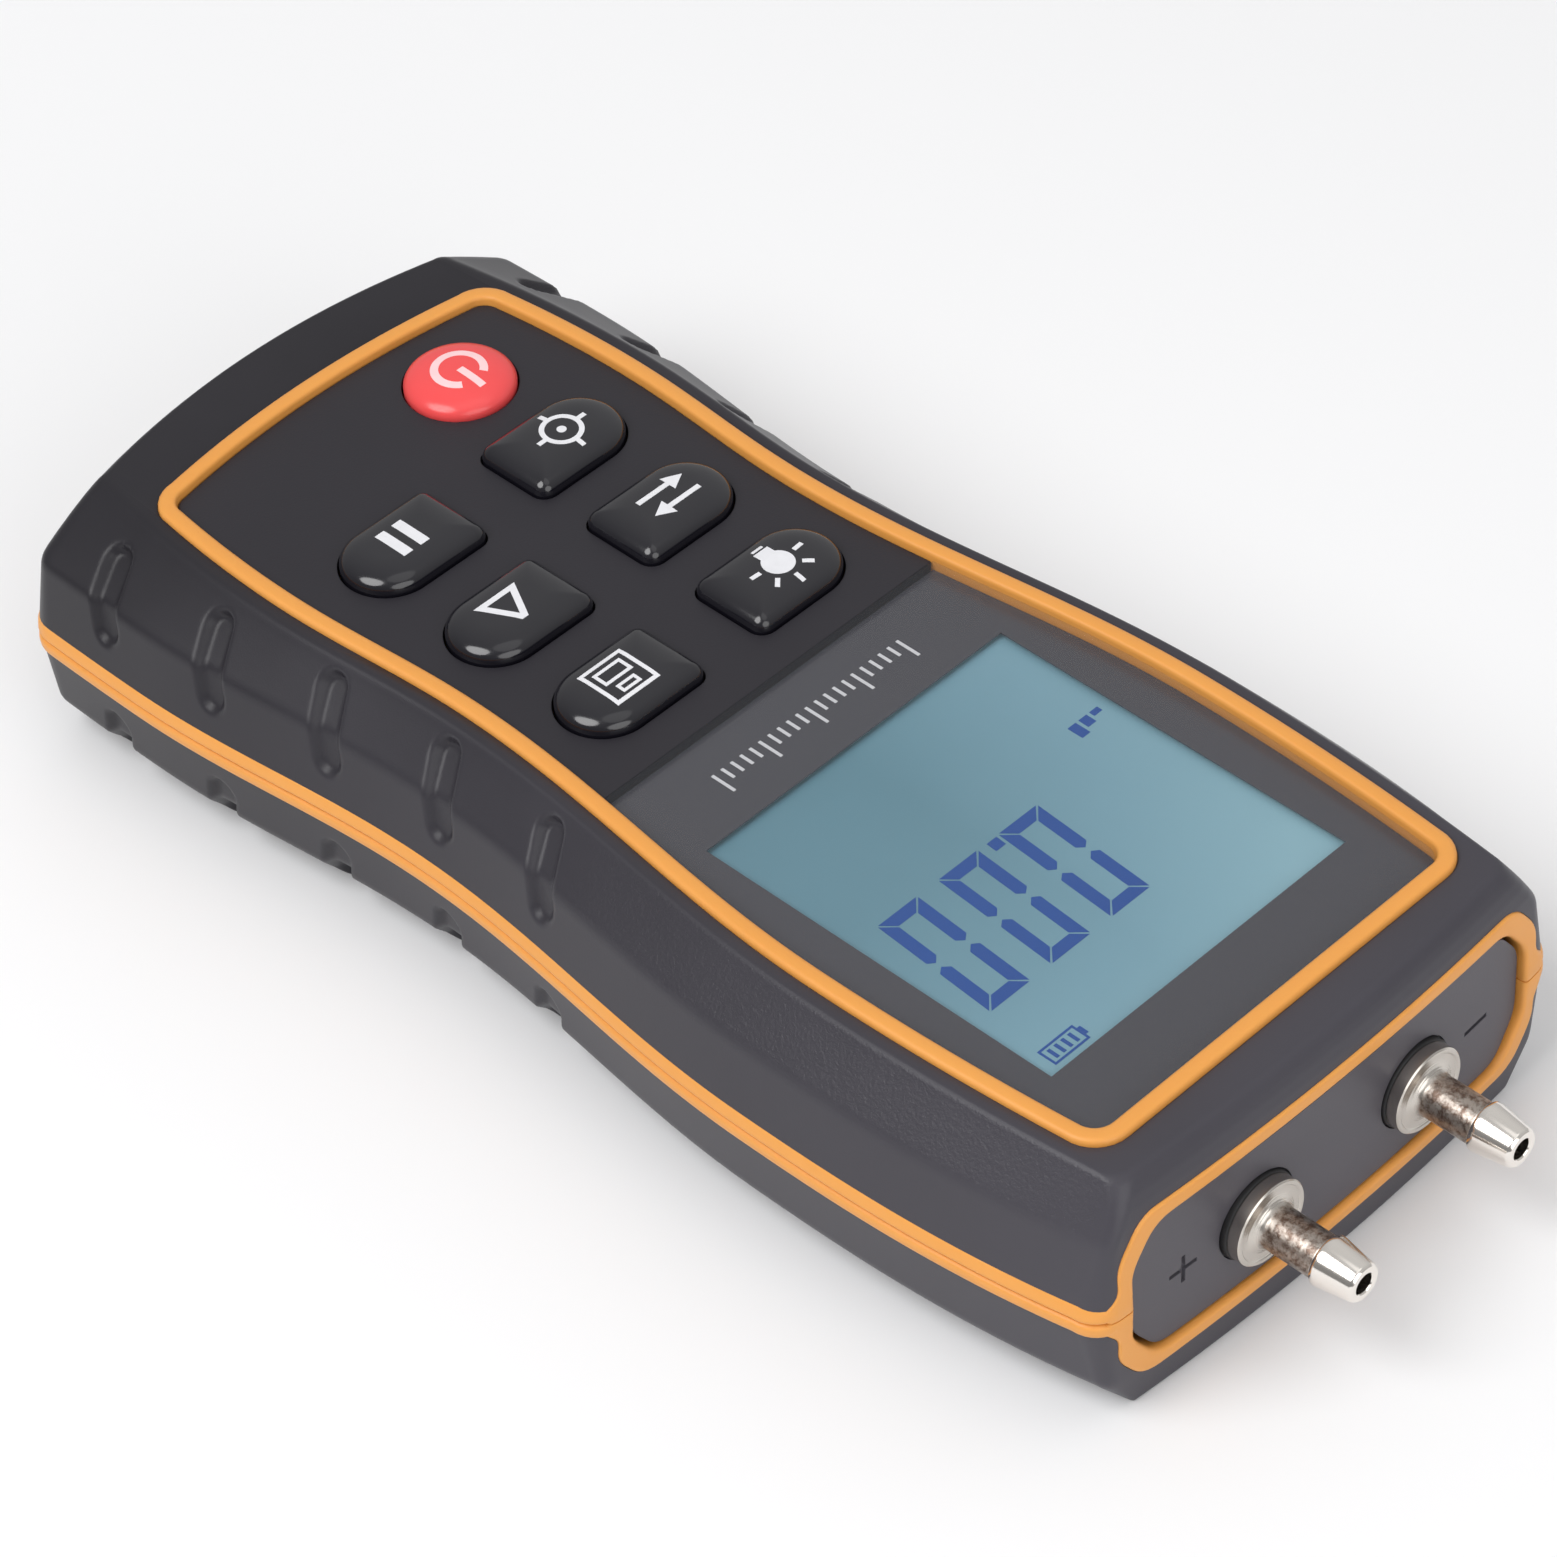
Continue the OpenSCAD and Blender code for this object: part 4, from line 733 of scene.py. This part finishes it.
# Lower grip: the same elastomer over the lower shell, out to the flat back the instrument lies on, with
# slots that mirror the upper ones and openings for the battery cover and the screws.
side_steps = 440
outside = slotted(lower_loops(0, STRIPE_BOTTOM), lower_loops(SLOT_DEPTH, STRIPE_BOTTOM), LOWER_CREASE,
                  LOWER_DRAW[0], 135, -1)
rear_grip = skin("rear_grip_skin", outside + under_loops())
carve(rear_grip, across(frame_flat(FRAME_STRIP + 0.03), PANEL_SEAT - 1))
carve(rear_grip, cover_block(COVER_GAP + BAY_RIM, -1, GRIP_LAYER + 1))
carve(rear_grip, discs(2.7, -1, GRIP_LAYER + 1))
smooth(rear_grip, 50)
put_on(rear_grip, soft_touch, "black_tpe", "case", "rear_grip")

# Key plate: a dark ABS plate set in the ring below the window, with openings for the seven keys. It is
# glued on the shell's face and its edges are broken.
side_steps = 110
SEAM = 2
PLATE_TOP = 27.8
face_flat = ring_outline(RING_STRIP + 0.15)
key_plate = slab("key_plate_sheet", face_flat, FACE_TOP, PLATE_TOP)
carve(key_plate, box_tool(-40, 40, SEAM - 0.15, 80, FACE_TOP - 1, FACE + 1))
carve(key_plate, key_holes(FACE_TOP - 1, FACE + 1))
soften(key_plate, 0.15, 45)
smooth(key_plate, 40, True)

# Dark ABS: satin with a very fine etched grain, faintly cloudy
DARK_FINISH = {"scale": 70, "roughness": (0.36, 0.48), "grain": (4200, 1, 0.2), "Specular_IOR_Level": 0.38}
dark_abs = clouded("moulded ABS, dark", "#232127", "#29272D", **DARK_FINISH)
put_on(key_plate, dark_abs, "dark_abs", "case", "key_plate")

# Window: a clear acrylic sheet glued into the ring, with a dark grey border printed on its back. The
# border carries a plain tick scale in white ink.
WINDOW = (-20, 20, 13, 56)
SHEET_BACK = 26.88
PRINT_BACK = 26.6
PRINT_FRONT = 26.8
lens = slab("window_sheet", face_flat, SHEET_BACK, FACE)
carve(lens, box_tool(-40, 40, -80, SEAM, 25, 30))
soften(lens, 0.12, 45)
smooth(lens, 40, True)
# Acrylic: smooth and glossy, with a light grey tint
acrylic = new_material("clear acrylic")
tree = acrylic.node_tree
surface = add_node(tree, "BsdfPrincipled",
                   {"Base Color": linear("#6E7276"), "Roughness": 0.06, "IOR": 1.49, "Alpha": 0.1})
add_node(tree, "OutputMaterial", Surface=surface)
put_on(lens, acrylic, "window_acrylic", "case", "display_lens")

mask = slab("window_border", face_flat, PRINT_BACK, PRINT_FRONT)
carve(mask, box_tool(-40, 40, -80, SEAM, 25, 30))
carve(mask, box_tool(*WINDOW, 25, 30))
smooth(mask)
# Screen print: flat dark grey ink under the gloss of the sheet
printed = clouded("screen printed ink, dark grey", "#3D3B42", "#424047", 40, 0.22, 2, IOR=1.5,
                  Coat_Weight=0.3)
put_on(mask, printed, "mask_print", "case", "lens_mask")

ticks = []
for i in range(21):
    x, reach = -12.5 + 1.25 * i, 1.7 if i % 5 else 3
    ticks.append(bar(x - 0.17, x + 0.17, 6.4, 6.4 + reach))
scale_marks = slabs("scale_marks", ticks, PRINT_FRONT - 0.02, PRINT_FRONT + 0.03)
# White ink: opaque and satin, a little uneven
white_ink = clouded("screen printed ink, white", "#DCDCE0", "#E8E8EC", 900, 0.35, 2)
put_on(scale_marks, white_ink, "mask_print", "case")

# Display cell: liquid crystal between two glass sheets with a polariser on top, a grey blue with painted
# light that pales it towards the barb end and the far side. Its segments show as dark blue.
CELL = (-21.6, 21.6, 10.15, 58.85)
CELL_BACK = 24.1
CELL_FRONT = 26.1
glass = slab("display_cell", bar(*CELL), CELL_BACK, CELL_FRONT)
soften(glass, 0.2, 45)
smooth(glass, 40, True)
polariser = new_material("polariser film over liquid crystal")
tree = polariser.node_tree
place = add_node(tree, "TexCoord").outputs["Object"]
point = add_node(tree, "SeparateXYZ", i0=place)
# Painted light: the blue pales towards the barb end and towards the far side, where the room's brighter
# reflections would fall
along = add_node(tree, "MapRange", {"From Min": WINDOW[2] * MM, "From Max": WINDOW[3] * MM},
                 Value=point.outputs["Y"])
curve = add_node(tree, "Math", {"operation": "POWER", 1: 2}, i0=along)
side = add_node(tree, "MapRange", {"From Min": 2 * MM, "From Max": WINDOW[0] * MM, "To Max": 0.5},
                Value=point.outputs["X"])
lit = add_node(tree, "Math", {"operation": "MULTIPLY_ADD", 1: 0.6}, i0=curve, i2=side)
streaks = add_node(tree, "TexNoise", {"Scale": 60, "Detail": 2}, Vector=place)
lit = add_node(tree, "Math", {"operation": "MULTIPLY_ADD", 1: 0.12}, i0=streaks, i2=lit)
tone = add_node(tree, "ValToRGB", {"ramp": ("#608D9D", "#93BECC")}, Fac=lit)
tone.color_ramp.elements.new(0.5).color = linear("#7DA9BA")
surface = add_node(tree, "BsdfPrincipled", {"Roughness": 0.3, "IOR": 1.5}, Base_Color=tone)
add_node(tree, "OutputMaterial", Surface=surface)
put_on(glass, polariser, "lcd_glass", "case", "lcd_glass")

# Three noughts of lit segments, a battery sign, and three small steps where a unit would stand
DIGIT_WIDTH = 5.3
DIGIT_HEIGHT = 15
DIGIT_LEAN = 0.07
DIGIT_BASE = 31.1
STROKE = 1.4


def segments(x0, y0):
    """Six lit segments of a nought, slanted"""
    w, h, s, gap = DIGIT_WIDTH, DIGIT_HEIGHT, STROKE, 0.16
    half = h / 2
    shapes = [[(gap, h), (w - gap, h), (w - s - gap / 2, h - s), (s + gap / 2, h - s)],
              [(gap, 0), (s + gap / 2, s), (w - s - gap / 2, s), (w - gap, 0)]]
    upright = [(0, h - gap), (s, h - s - gap), (s, half + 1), (s / 2, half + 0.35), (0, half + 0.9)]
    for side in (0, 1):
        for end in (0, 1):
            shapes.append([(w - x if side else x, h - y if end else y) for x, y in upright])
    return [[(x0 + x + DIGIT_LEAN * y, y0 + y) for x, y in shape] for shape in shapes]


def hollow_bars(x0, x1, y0, y1, w):
    """Four bars round a rectangle"""
    return [bar(x0, x1, y0, y0 + w), bar(x0, x1, y1 - w, y1), bar(x0, x0 + w, y0 + w, y1 - w),
            bar(x1 - w, x1, y0 + w, y1 - w)]


marks = []
for x0 in (-5.3, 2.8, 10.9):
    marks += segments(x0, DIGIT_BASE)
marks.append([(x + DIGIT_LEAN * y + 1, y + DIGIT_BASE + 0.1) for x, y in bar(-0.65, 0.65, 0, 1.3)])
marks += hollow_bars(13.6, 18.2, 52.6, 54.9, 0.25) + [bar(13.2, 13.6, 53.2, 54.3)]
marks += [bar(14.4 + 0.9 * i, 14.8 + 0.9 * i, 53.1, 54.4) for i in range(4)]
marks += [bar(-18.9 + 1.5 * i, -17.8 + 1.5 * i, 26.3, 27 + 0.6 * i) for i in range(3)]
lit_segments = slabs("display_segments", marks, CELL_FRONT - 0.02, CELL_FRONT + 0.03)
# Driven crystal: a flat, deep blue
blue_crystal = clouded("liquid crystal, dark blue", "#00479A", "#004DA2", 120, 0.3, 2)
put_on(lit_segments, blue_crystal, "lcd_glass", "case")

# Keys: six D-shaped caps of glossy black ABS with domed tops, each with a flange under the face that
# stops it. A white sign is printed on each top.
KEY_NAMES = ("light_key", "store_key", "unit_key", "difference_key", "zero_key", "hold_key")
KEY_TOP = 29.8
KEY_EDGE = 27.85
FLANGE_REACH = 0.9
FLANGE_Z = (23.2, 24.4)
QUARTER = [math.radians(5 * i) for i in range(19)]
KEY_PROFILE = [(-FLANGE_REACH, z) for z in FLANGE_Z] + [(0, FLANGE_Z[1])]
KEY_PROFILE += [(3.6 * (1 - math.cos(a)) ** 1.15 - 0.14,
                 KEY_EDGE + (KEY_TOP - KEY_EDGE) * math.sin(a) ** 0.9) for a in QUARTER]
# Polished ABS: black and glossy, with sharp reflections that waver a little
key_black = clouded("polished ABS, black", "#131219", "#18171E", 180, (0.1, 0.2), IOR=1.54, Coat_Weight=0.3,
                    Coat_Roughness=0.08)


def printed_sign(name, flats, dome, x, y):
    """Marks that follow a key's dome, 0.03 mm proud of it, from the dome's own loops"""
    sign = slabs(name, [shifted(flat, x, y) for flat in flats], 29, 31)
    skim = skin("skim", [[point + Vector((0, 0, 0.03)) for point in loop] for loop in dome])
    carve(sign, skim, "INTERSECT", True)
    return sign


def arc_band(r, width, start, end, steps=28):
    """Part of a ring as a flat outline"""
    return arc(0, 0, r + width / 2, start, end, steps) + arc(0, 0, r - width / 2, start, end, steps)[::-1]


def turned(flat, angle):
    """Flat outline turned about the middle"""
    c, s = math.cos(math.radians(angle)), math.sin(math.radians(angle))
    return [(x * c - y * s, x * s + y * c) for x, y in flat]


# Signs of the six keys, each upright for a reader at the handle end
bulb = [disc_flat(1.7), bar(-0.95, 0.95, -2.45, -1.3), bar(-0.7, 0.7, -3.05, -2.7)]
bulb += [turned(bar(-0.25, 0.25, 2.3, 3.5), a) for a in (-94, -47, 0, 47, 94)]
card = hollow_bars(-2.8, 2.8, -2.8, 2.8, 0.45) + hollow_bars(-1.8, 1.8, -1.8, 0.2, 0.38)
card += hollow_bars(-1.2, 1.2, 0.8, 2, 0.35)
arrows = [bar(-3, 1.2, 0.95, 1.55), [(1.1, 2.35), (1.1, 0.15), (3.1, 1.25)],
          bar(-1.2, 3, -1.55, -0.95), [(-1.1, -2.35), (-3.1, -1.25), (-1.1, -0.15)]]
delta = [[(-2.7, -2.1), (2.7, -2.1), (2.2, -1.45), (-2.2, -1.45)],
         [(-2.7, -2.1), (-1.9, -2.1), (0.4, 2.3), (-0.4, 2.3)],
         [(2.7, -2.1), (0.4, 2.3), (-0.4, 2.3), (1.9, -2.1)]]
target = [arc_band(2, 0.55, 0, 180), arc_band(2, 0.55, 180, 360), disc_flat(0.5)]
target += [turned(bar(-0.27, 0.27, 2.2, 3.2), a) for a in (0, 90, 180, 270)]
pause = [bar(-1.7, -0.5, -2.1, 2.1), bar(0.5, 1.7, -2.1, 2.1)]

for name, (x, y, side), flats in zip(KEY_NAMES, KEY_PLACES, (bulb, card, arrows, delta, target, pause)):
    loops = [raised(shifted(key_flat(inset, side), x, y), z) for inset, z in KEY_PROFILE]
    cap = skin(name + "_cap", loops)
    smooth(cap, 50)
    put_on(cap, key_black, "key_plastic", name, name)
    sign = printed_sign(name + "_sign", flats, loops[3:], x + side * 0.2, y)
    put_on(sign, white_ink, "key_plastic", name)

# Power key: a round red ABS cap, slightly domed, with a pale stand-by sign. A flange under the face stops
# it, like the others.
RED_EDGE = 27.8
RED_PROFILE = [(POWER_RADIUS + FLANGE_REACH, z) for z in FLANGE_Z] + [(POWER_RADIUS, FLANGE_Z[1])]
RED_PROFILE += [(5.75 * math.cos(a) ** 0.85, RED_EDGE + (KEY_TOP - RED_EDGE) * math.sin(a) ** 0.9)
                for a in QUARTER[:-1]]
loops = [raised(disc_flat(r, *POWER_PLACE, 64), z) for r, z in RED_PROFILE]
power_cap = skin("power_key_cap", loops)
smooth(power_cap, 50)
stand_by = [arc_band(2.5, 0.85, 126, 414, 40), bar(-0.42, 0.42, 0.1, 3.5)]
sign = printed_sign("power_key_sign", stand_by, loops[3:], *POWER_PLACE)
# Red ABS: warm, glossy and slightly translucent
red_abs = clouded("polished ABS, red", "#EC4D4E", "#F05354", 150, 0.22, 2, IOR=1.5, Subsurface_Weight=0.08,
                  Subsurface_Scale=0.001, Subsurface_Radius=(1, 0.3, 0.2))
put_on(power_cap, red_abs, "red_key_plastic", "power_key", "power_key")
# Pale ink: thin enough for the red to tint it
pale_ink = clouded("screen printed ink, pale pink", "#F7C9CC", "#FBD6D8", 900, 0.35, 2)
put_on(sign, pale_ink, "red_key_plastic", "power_key")

# End panel: dark grey ABS plate between the shells, etched to a satin finish and bulged like the end it
# closes, with two round seats for the barbs. A plus and a minus are engraved beside them.
PORT_X = 10.9
PORT_Z = 13.4
PORT_BORE = 2.65
PANEL_FRONT = 72.45
PANEL_BULGE = 1.2
SIGN_X = 20.2
SIGN_HALF = (1.7, 0.25)
panel = across(octagon(-0.2), PANEL_SEAT - 1.2)
panel.name = panel.data.name = "end_panel_plate"
bend = [(x, PANEL_FRONT - PANEL_BULGE * (x / PANEL_HALF[0]) ** 2) for x in range(30, -31, -2)]
carve(panel, slab("limit", [(30, 60)] + bend + [(-30, 60)], 0, 30), "INTERSECT")
carve(panel, across(octagon(0.8), PANEL_SEAT - 1.2, PANEL_SEAT), "UNION")
carve(panel, across(octagon(-1.6), PANEL_SEAT - 2, PANEL_FRONT - 2.6))
for x in (PORT_X, -PORT_X):
    carve(panel, across(disc_flat(PORT_BORE, x, steps=48), 68, 75, PORT_Z))
    carve(panel, across(disc_flat(4.8, x, steps=48), PANEL_FRONT - 0.8, 75, PORT_Z))
engraved = PANEL_FRONT - PANEL_BULGE * (SIGN_X / PANEL_HALF[0]) ** 2 - 0.4
for x, strokes in ((SIGN_X, (SIGN_HALF, SIGN_HALF[::-1])), (-SIGN_X, (SIGN_HALF,))):
    for w, h in strokes:
        carve(panel, box_tool(x - w, x + w, engraved, 75, PORT_Z - h, PORT_Z + h))
soften(panel, 0.22, 45)
smooth(panel, 45, True)
panel_abs = clouded("moulded ABS, dark grey", "#4A484E", "#524F56", **DARK_FINISH)
put_on(panel, panel_abs, "dark_abs", "case", "end_panel")

# Hose barbs: turned brass, nickel plated. Each has a round flange with a broken edge, a straight neck and
# one cone that holds a 4 mm tube; a black rubber washer lies under the flange and a hex nut holds it inside.
FLANGE = PANEL_FRONT + 0.2
NECK = 2.24
CONE = 80.4
# Radius, place along the body and rounding of each edge: thread, flange, neck, cone and bore
BARB = ((1.1, 64.6, 0), (1.4, 64.6, 0), (1.4, 67.65, 0), (2.5, 67.65, 0), (2.5, FLANGE, 0),
        (4.5, FLANGE, 0.12), (4.5, FLANGE + 1.25, 0), (4.36, FLANGE + 1.4, 0), (4.02, FLANGE + 1.4, 0),
        (3.9, FLANGE + 1.27, 0.1), (3.05, FLANGE + 1.33, 0.15), (NECK, FLANGE + 1.85, 0.5), (NECK, CONE, 0),
        (2.56, CONE + 0.07, 0.04), (2.6, CONE + 0.45, 0.25), (2.04, 84.55, 0.1), (1.82, 84.85, 0.05),
        (1.2, 84.85, 0.05), (1.1, 84.7, 0), (1.1, 84.4, 0))
WASHER = ((PORT_BORE, FLANGE - 1, 0), (4.65, FLANGE - 1, 0.2), (4.65, FLANGE, 0.25), (PORT_BORE, FLANGE, 0))

# Nickel: bright and slightly warm, with turning marks on the flange and fine pits on the neck, drawn coarse
# enough to show; the neck's mottled brown and the paler cone are painted reflections of the case and room.
nickel = new_material("nickel plated brass")
tree = nickel.node_tree
place = add_node(tree, "TexCoord").outputs["Object"]
point = add_node(tree, "SeparateXYZ", i0=place)
y = point.outputs["Y"]
aside = add_node(tree, "Math", {"operation": "ABSOLUTE"}, i0=point.outputs["X"])
off_axis = add_node(tree, "CombineXYZ", X=aside, Z=point.outputs["Z"])
radius = add_node(tree, "VectorMath", {"operation": "DISTANCE", 1: (PORT_X * MM, 0, PORT_Z * MM)},
                  i0=off_axis)
rings = add_node(tree, "TexNoise", {"noise_dimensions": "1D", "Scale": 2600, "Detail": 2},
                 W=radius.outputs["Value"])
pits = add_node(tree, "TexNoise", {"Scale": 1300, "Detail": 4, "Roughness": 0.7}, Vector=place)
in_front = add_node(tree, "MapRange", {"From Min": 74.3 * MM, "From Max": 74.9 * MM}, Value=y)
on_neck = add_node(tree, "MapRange", {"From Min": 80.5 * MM, "From Max": 80.2 * MM}, Value=y)
neck = add_node(tree, "Math", {"operation": "MULTIPLY"}, i0=in_front, i1=on_neck)
depth = add_node(tree, "Math", {"operation": "MULTIPLY"}, i0=pits, i1=neck)
behind = add_node(tree, "MapRange", {"From Min": 75 * MM, "From Max": 74.2 * MM}, Value=y)
relief = add_node(tree, "Math", {"operation": "MULTIPLY_ADD"}, i0=rings, i1=behind, i2=depth)
# Painted reflection: the neck turns a mottled brown where it would mirror the orange case
painted_reflection_mottle = add_node(tree, "MapRange", {"From Min": 0.42, "From Max": 0.62, "To Min": 0.3}, Value=pits)
neck_painted_reflection = add_node(tree, "Math", {"operation": "MULTIPLY"}, i0=painted_reflection_mottle, i1=neck)
# Painted reflection: the cone is painted paler, standing in for the bright room it would mirror
painted_cone_reflection = add_node(tree, "MapRange",
                {"From Min": 80.3 * MM, "From Max": 80.6 * MM, "To Min": 0.5, "To Max": 0}, Value=y)
painted_reflection_mix = add_node(tree, "Math", {"operation": "MULTIPLY_ADD", 1: 0.5}, i0=neck_painted_reflection, i2=painted_cone_reflection)
tone = add_node(tree, "ValToRGB", {"ramp": ("#EFE9E2", "#75645A")}, Fac=painted_reflection_mix)
tone.color_ramp.elements.new(0.5).color = linear("#CFC9C1")
shine = add_node(tree, "Math", {"operation": "MULTIPLY_ADD", 1: 0.12, 2: 0.15}, i0=behind)
shine = add_node(tree, "Math", {"operation": "MULTIPLY_ADD", 1: 0.2}, i0=neck, i2=shine)
bump = add_node(tree, "Bump", {"Strength": 0.6, "Distance": 0.1 * MM}, Height=relief)
surface = add_node(tree, "BsdfPrincipled", {"Metallic": 1}, Base_Color=tone, Roughness=shine, Normal=bump)
add_node(tree, "OutputMaterial", Surface=surface)
# Nitrile rubber: matt, nearly black, with a fine moulded grain
washer_rubber = clouded("nitrile rubber", "#121214", "#1C1C1F", 2500, 0.6, 2, (2500, 2, 0.2))


def lathed(name, x, profile):
    """Closed turned piece about a port's axis, from radii, places and roundings"""
    loops = [[Vector((u, y, v)) for u, v in disc_flat(r, x, PORT_Z, 64)] for r, y, _ in profile]
    return skin(name, rounded(loops, {k: row[2] for k, row in enumerate(profile)}), closed=True)


for name, x in (("plus", PORT_X), ("minus", -PORT_X)):
    barb = lathed(name + "_barb", x, BARB)
    smooth(barb, 33)
    put_on(barb, nickel, "nickel_plate", "case", name + "_port")
    washer = lathed(name + "_washer", x, WASHER)
    smooth(washer, 45)
    put_on(washer, washer_rubber, "black_foam", "case", name + "_seal")

# Battery cover: a dark ABS door in the back, hinged at the handle end on two pins, with four moulded
# finger grooves at the free end.
HINGE = (-63.55, 0.85)
PIN_RADIUS = 0.5
PIN_REACH = 19.05
cover = slab("battery_cover_door", bar(-COVER_HALF, COVER_HALF, HINGE[0], COVER_Y[1]), 0, 2 * HINGE[1])
for radius, reach in ((HINGE[1], COVER_HALF), (PIN_RADIUS, PIN_REACH)):
    ends = [[Vector((x, y, z)) for y, z in disc_flat(radius, *HINGE, 40)] for x in (-reach, reach)]
    carve(cover, skin("tool", ends), "UNION")
for i in range(4):
    carve(cover, box_tool(-6, 6, -20.4 + 1.6 * i, -19.6 + 1.6 * i, -1, 0.5))
soften(cover, 0.15, 45)
smooth(cover, 40, True)
put_on(cover, dark_abs, "dark_abs", "battery_cover", "battery_cover")

# Case screws: steel pan heads with a cross recess, sunk in the back. The zinc plating is pale grey, bright
# and slightly blotched.
SCREW = ((1.9, 1), (2.3, 1.15), (2.4, 1.5), (2.4, 2.8), (1.25, 2.8), (1.25, 16.6), (0.5, 17.8))
RECESS = (1.2, 0.25)
zinc = clouded("zinc plated steel", "#9A9A9C", "#B4B3B0", 700, (0.25, 0.4), 2, Metallic=1)
screws = []
for x, y in BOSSES:
    screw = skin("case_screw_set", [raised(disc_flat(r, x, y), z) for r, z in SCREW])
    for w, h in (RECESS, RECESS[::-1]):
        carve(screw, box_tool(x - w, x + w, y - h, y + h, 0, 1.9))
    screws.append(screw)
case_screws = join(screws)
smooth(case_screws, 40)
put_on(case_screws, zinc, "zinc_steel", "case", "case_screws")

# Key domes: hollow cones of the silicone keypad mat, one under each key, drawn as they stand before a key
# goes down and flattens them. The silicone is milky and satin.
MAT_TOP = 20.8
DOME = ((1.3, 22), (1.7, 21.9), (3.1, MAT_TOP), (3.6, MAT_TOP), (3.5, 21.05), (2.4, 22.25), (2.1, 22.45),
        (2, 22.55), (2, 22.8), (1.9, 22.9))
silicone = clouded("translucent silicone", "#C9CBC8", "#DADBD8", 200, 0.35)
for key, (x, y) in zip((*KEY_NAMES, "power_key"), [place[:2] for place in KEY_PLACES] + [POWER_PLACE]):
    node = key.replace("key", "dome")
    dome = skin(node + "_skin", [raised(disc_flat(r, x, y, 48), z) for r, z in DOME])
    smooth(dome, 50)
    put_on(dome, silicone, "silicone", "case", node)
    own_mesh(dome)

# Inside: board, cells, sensor and the rest keep their CAD shapes, each in its own material: matt black
# foam, satin white polycarbonate, mottled rubber, glossy green board, zinc, dull black epoxy, milky
# silicone, yellow brass, smooth dark blue film, warm grey nickel, and satin red and black PVC.
INSIDE = (
    (clouded("acrylic foam tape", "#151516", "#1D1D1F", 900, 0.8), ("lens_gasket",)),
    (clouded("moulded polycarbonate, white", "#D6D6D0", "#E2E2DC", 90, 0.4),
     ("lcd_frame", "backlight_panel", "pressure_sensor")),
    (clouded("layered silicone, grey and pink", "#8B7F86", "#A69AA0", 2200, 0.5), ("zebra_strip",)),
    (clouded("solder mask over glass epoxy", "#0F4A2B", "#155A35", 160, 0.35), ("main_board",)),
    (zinc, ("board_screws",)),
    (clouded("moulded epoxy, black", "#161617", "#202022", 1200, 0.55), ("controller_chip",)),
    (silicone, ("plus_tube", "minus_tube", "keypad_mat")),
    (clouded("turned brass", "#B08D4A", "#C6A35C", 500, 0.3, Metallic=1), ("plus_nut", "minus_nut")),
    (clouded("printed shrink film", "#25384C", "#2E4560", 80, 0.3), ("cell_1", "cell_2", "cell_3")),
    (clouded("nickel plated spring steel", "#A9A59D", "#C2BEB6", 600, 0.3, Metallic=1),
     ("positive_contact", "negative_contact", "handle_end_bridge", "display_end_bridge")),
    (clouded("PVC, red", "#B01C1C", "#C22626", 300, 0.45), ("red_lead",)),
    (clouded("PVC, black", "#161617", "#1F1F21", 300, 0.45), ("black_lead",)),
)
for material, names in INSIDE:
    for name in names:
        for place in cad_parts[name].material_slots:
            place.link = "OBJECT"
            place.material = material
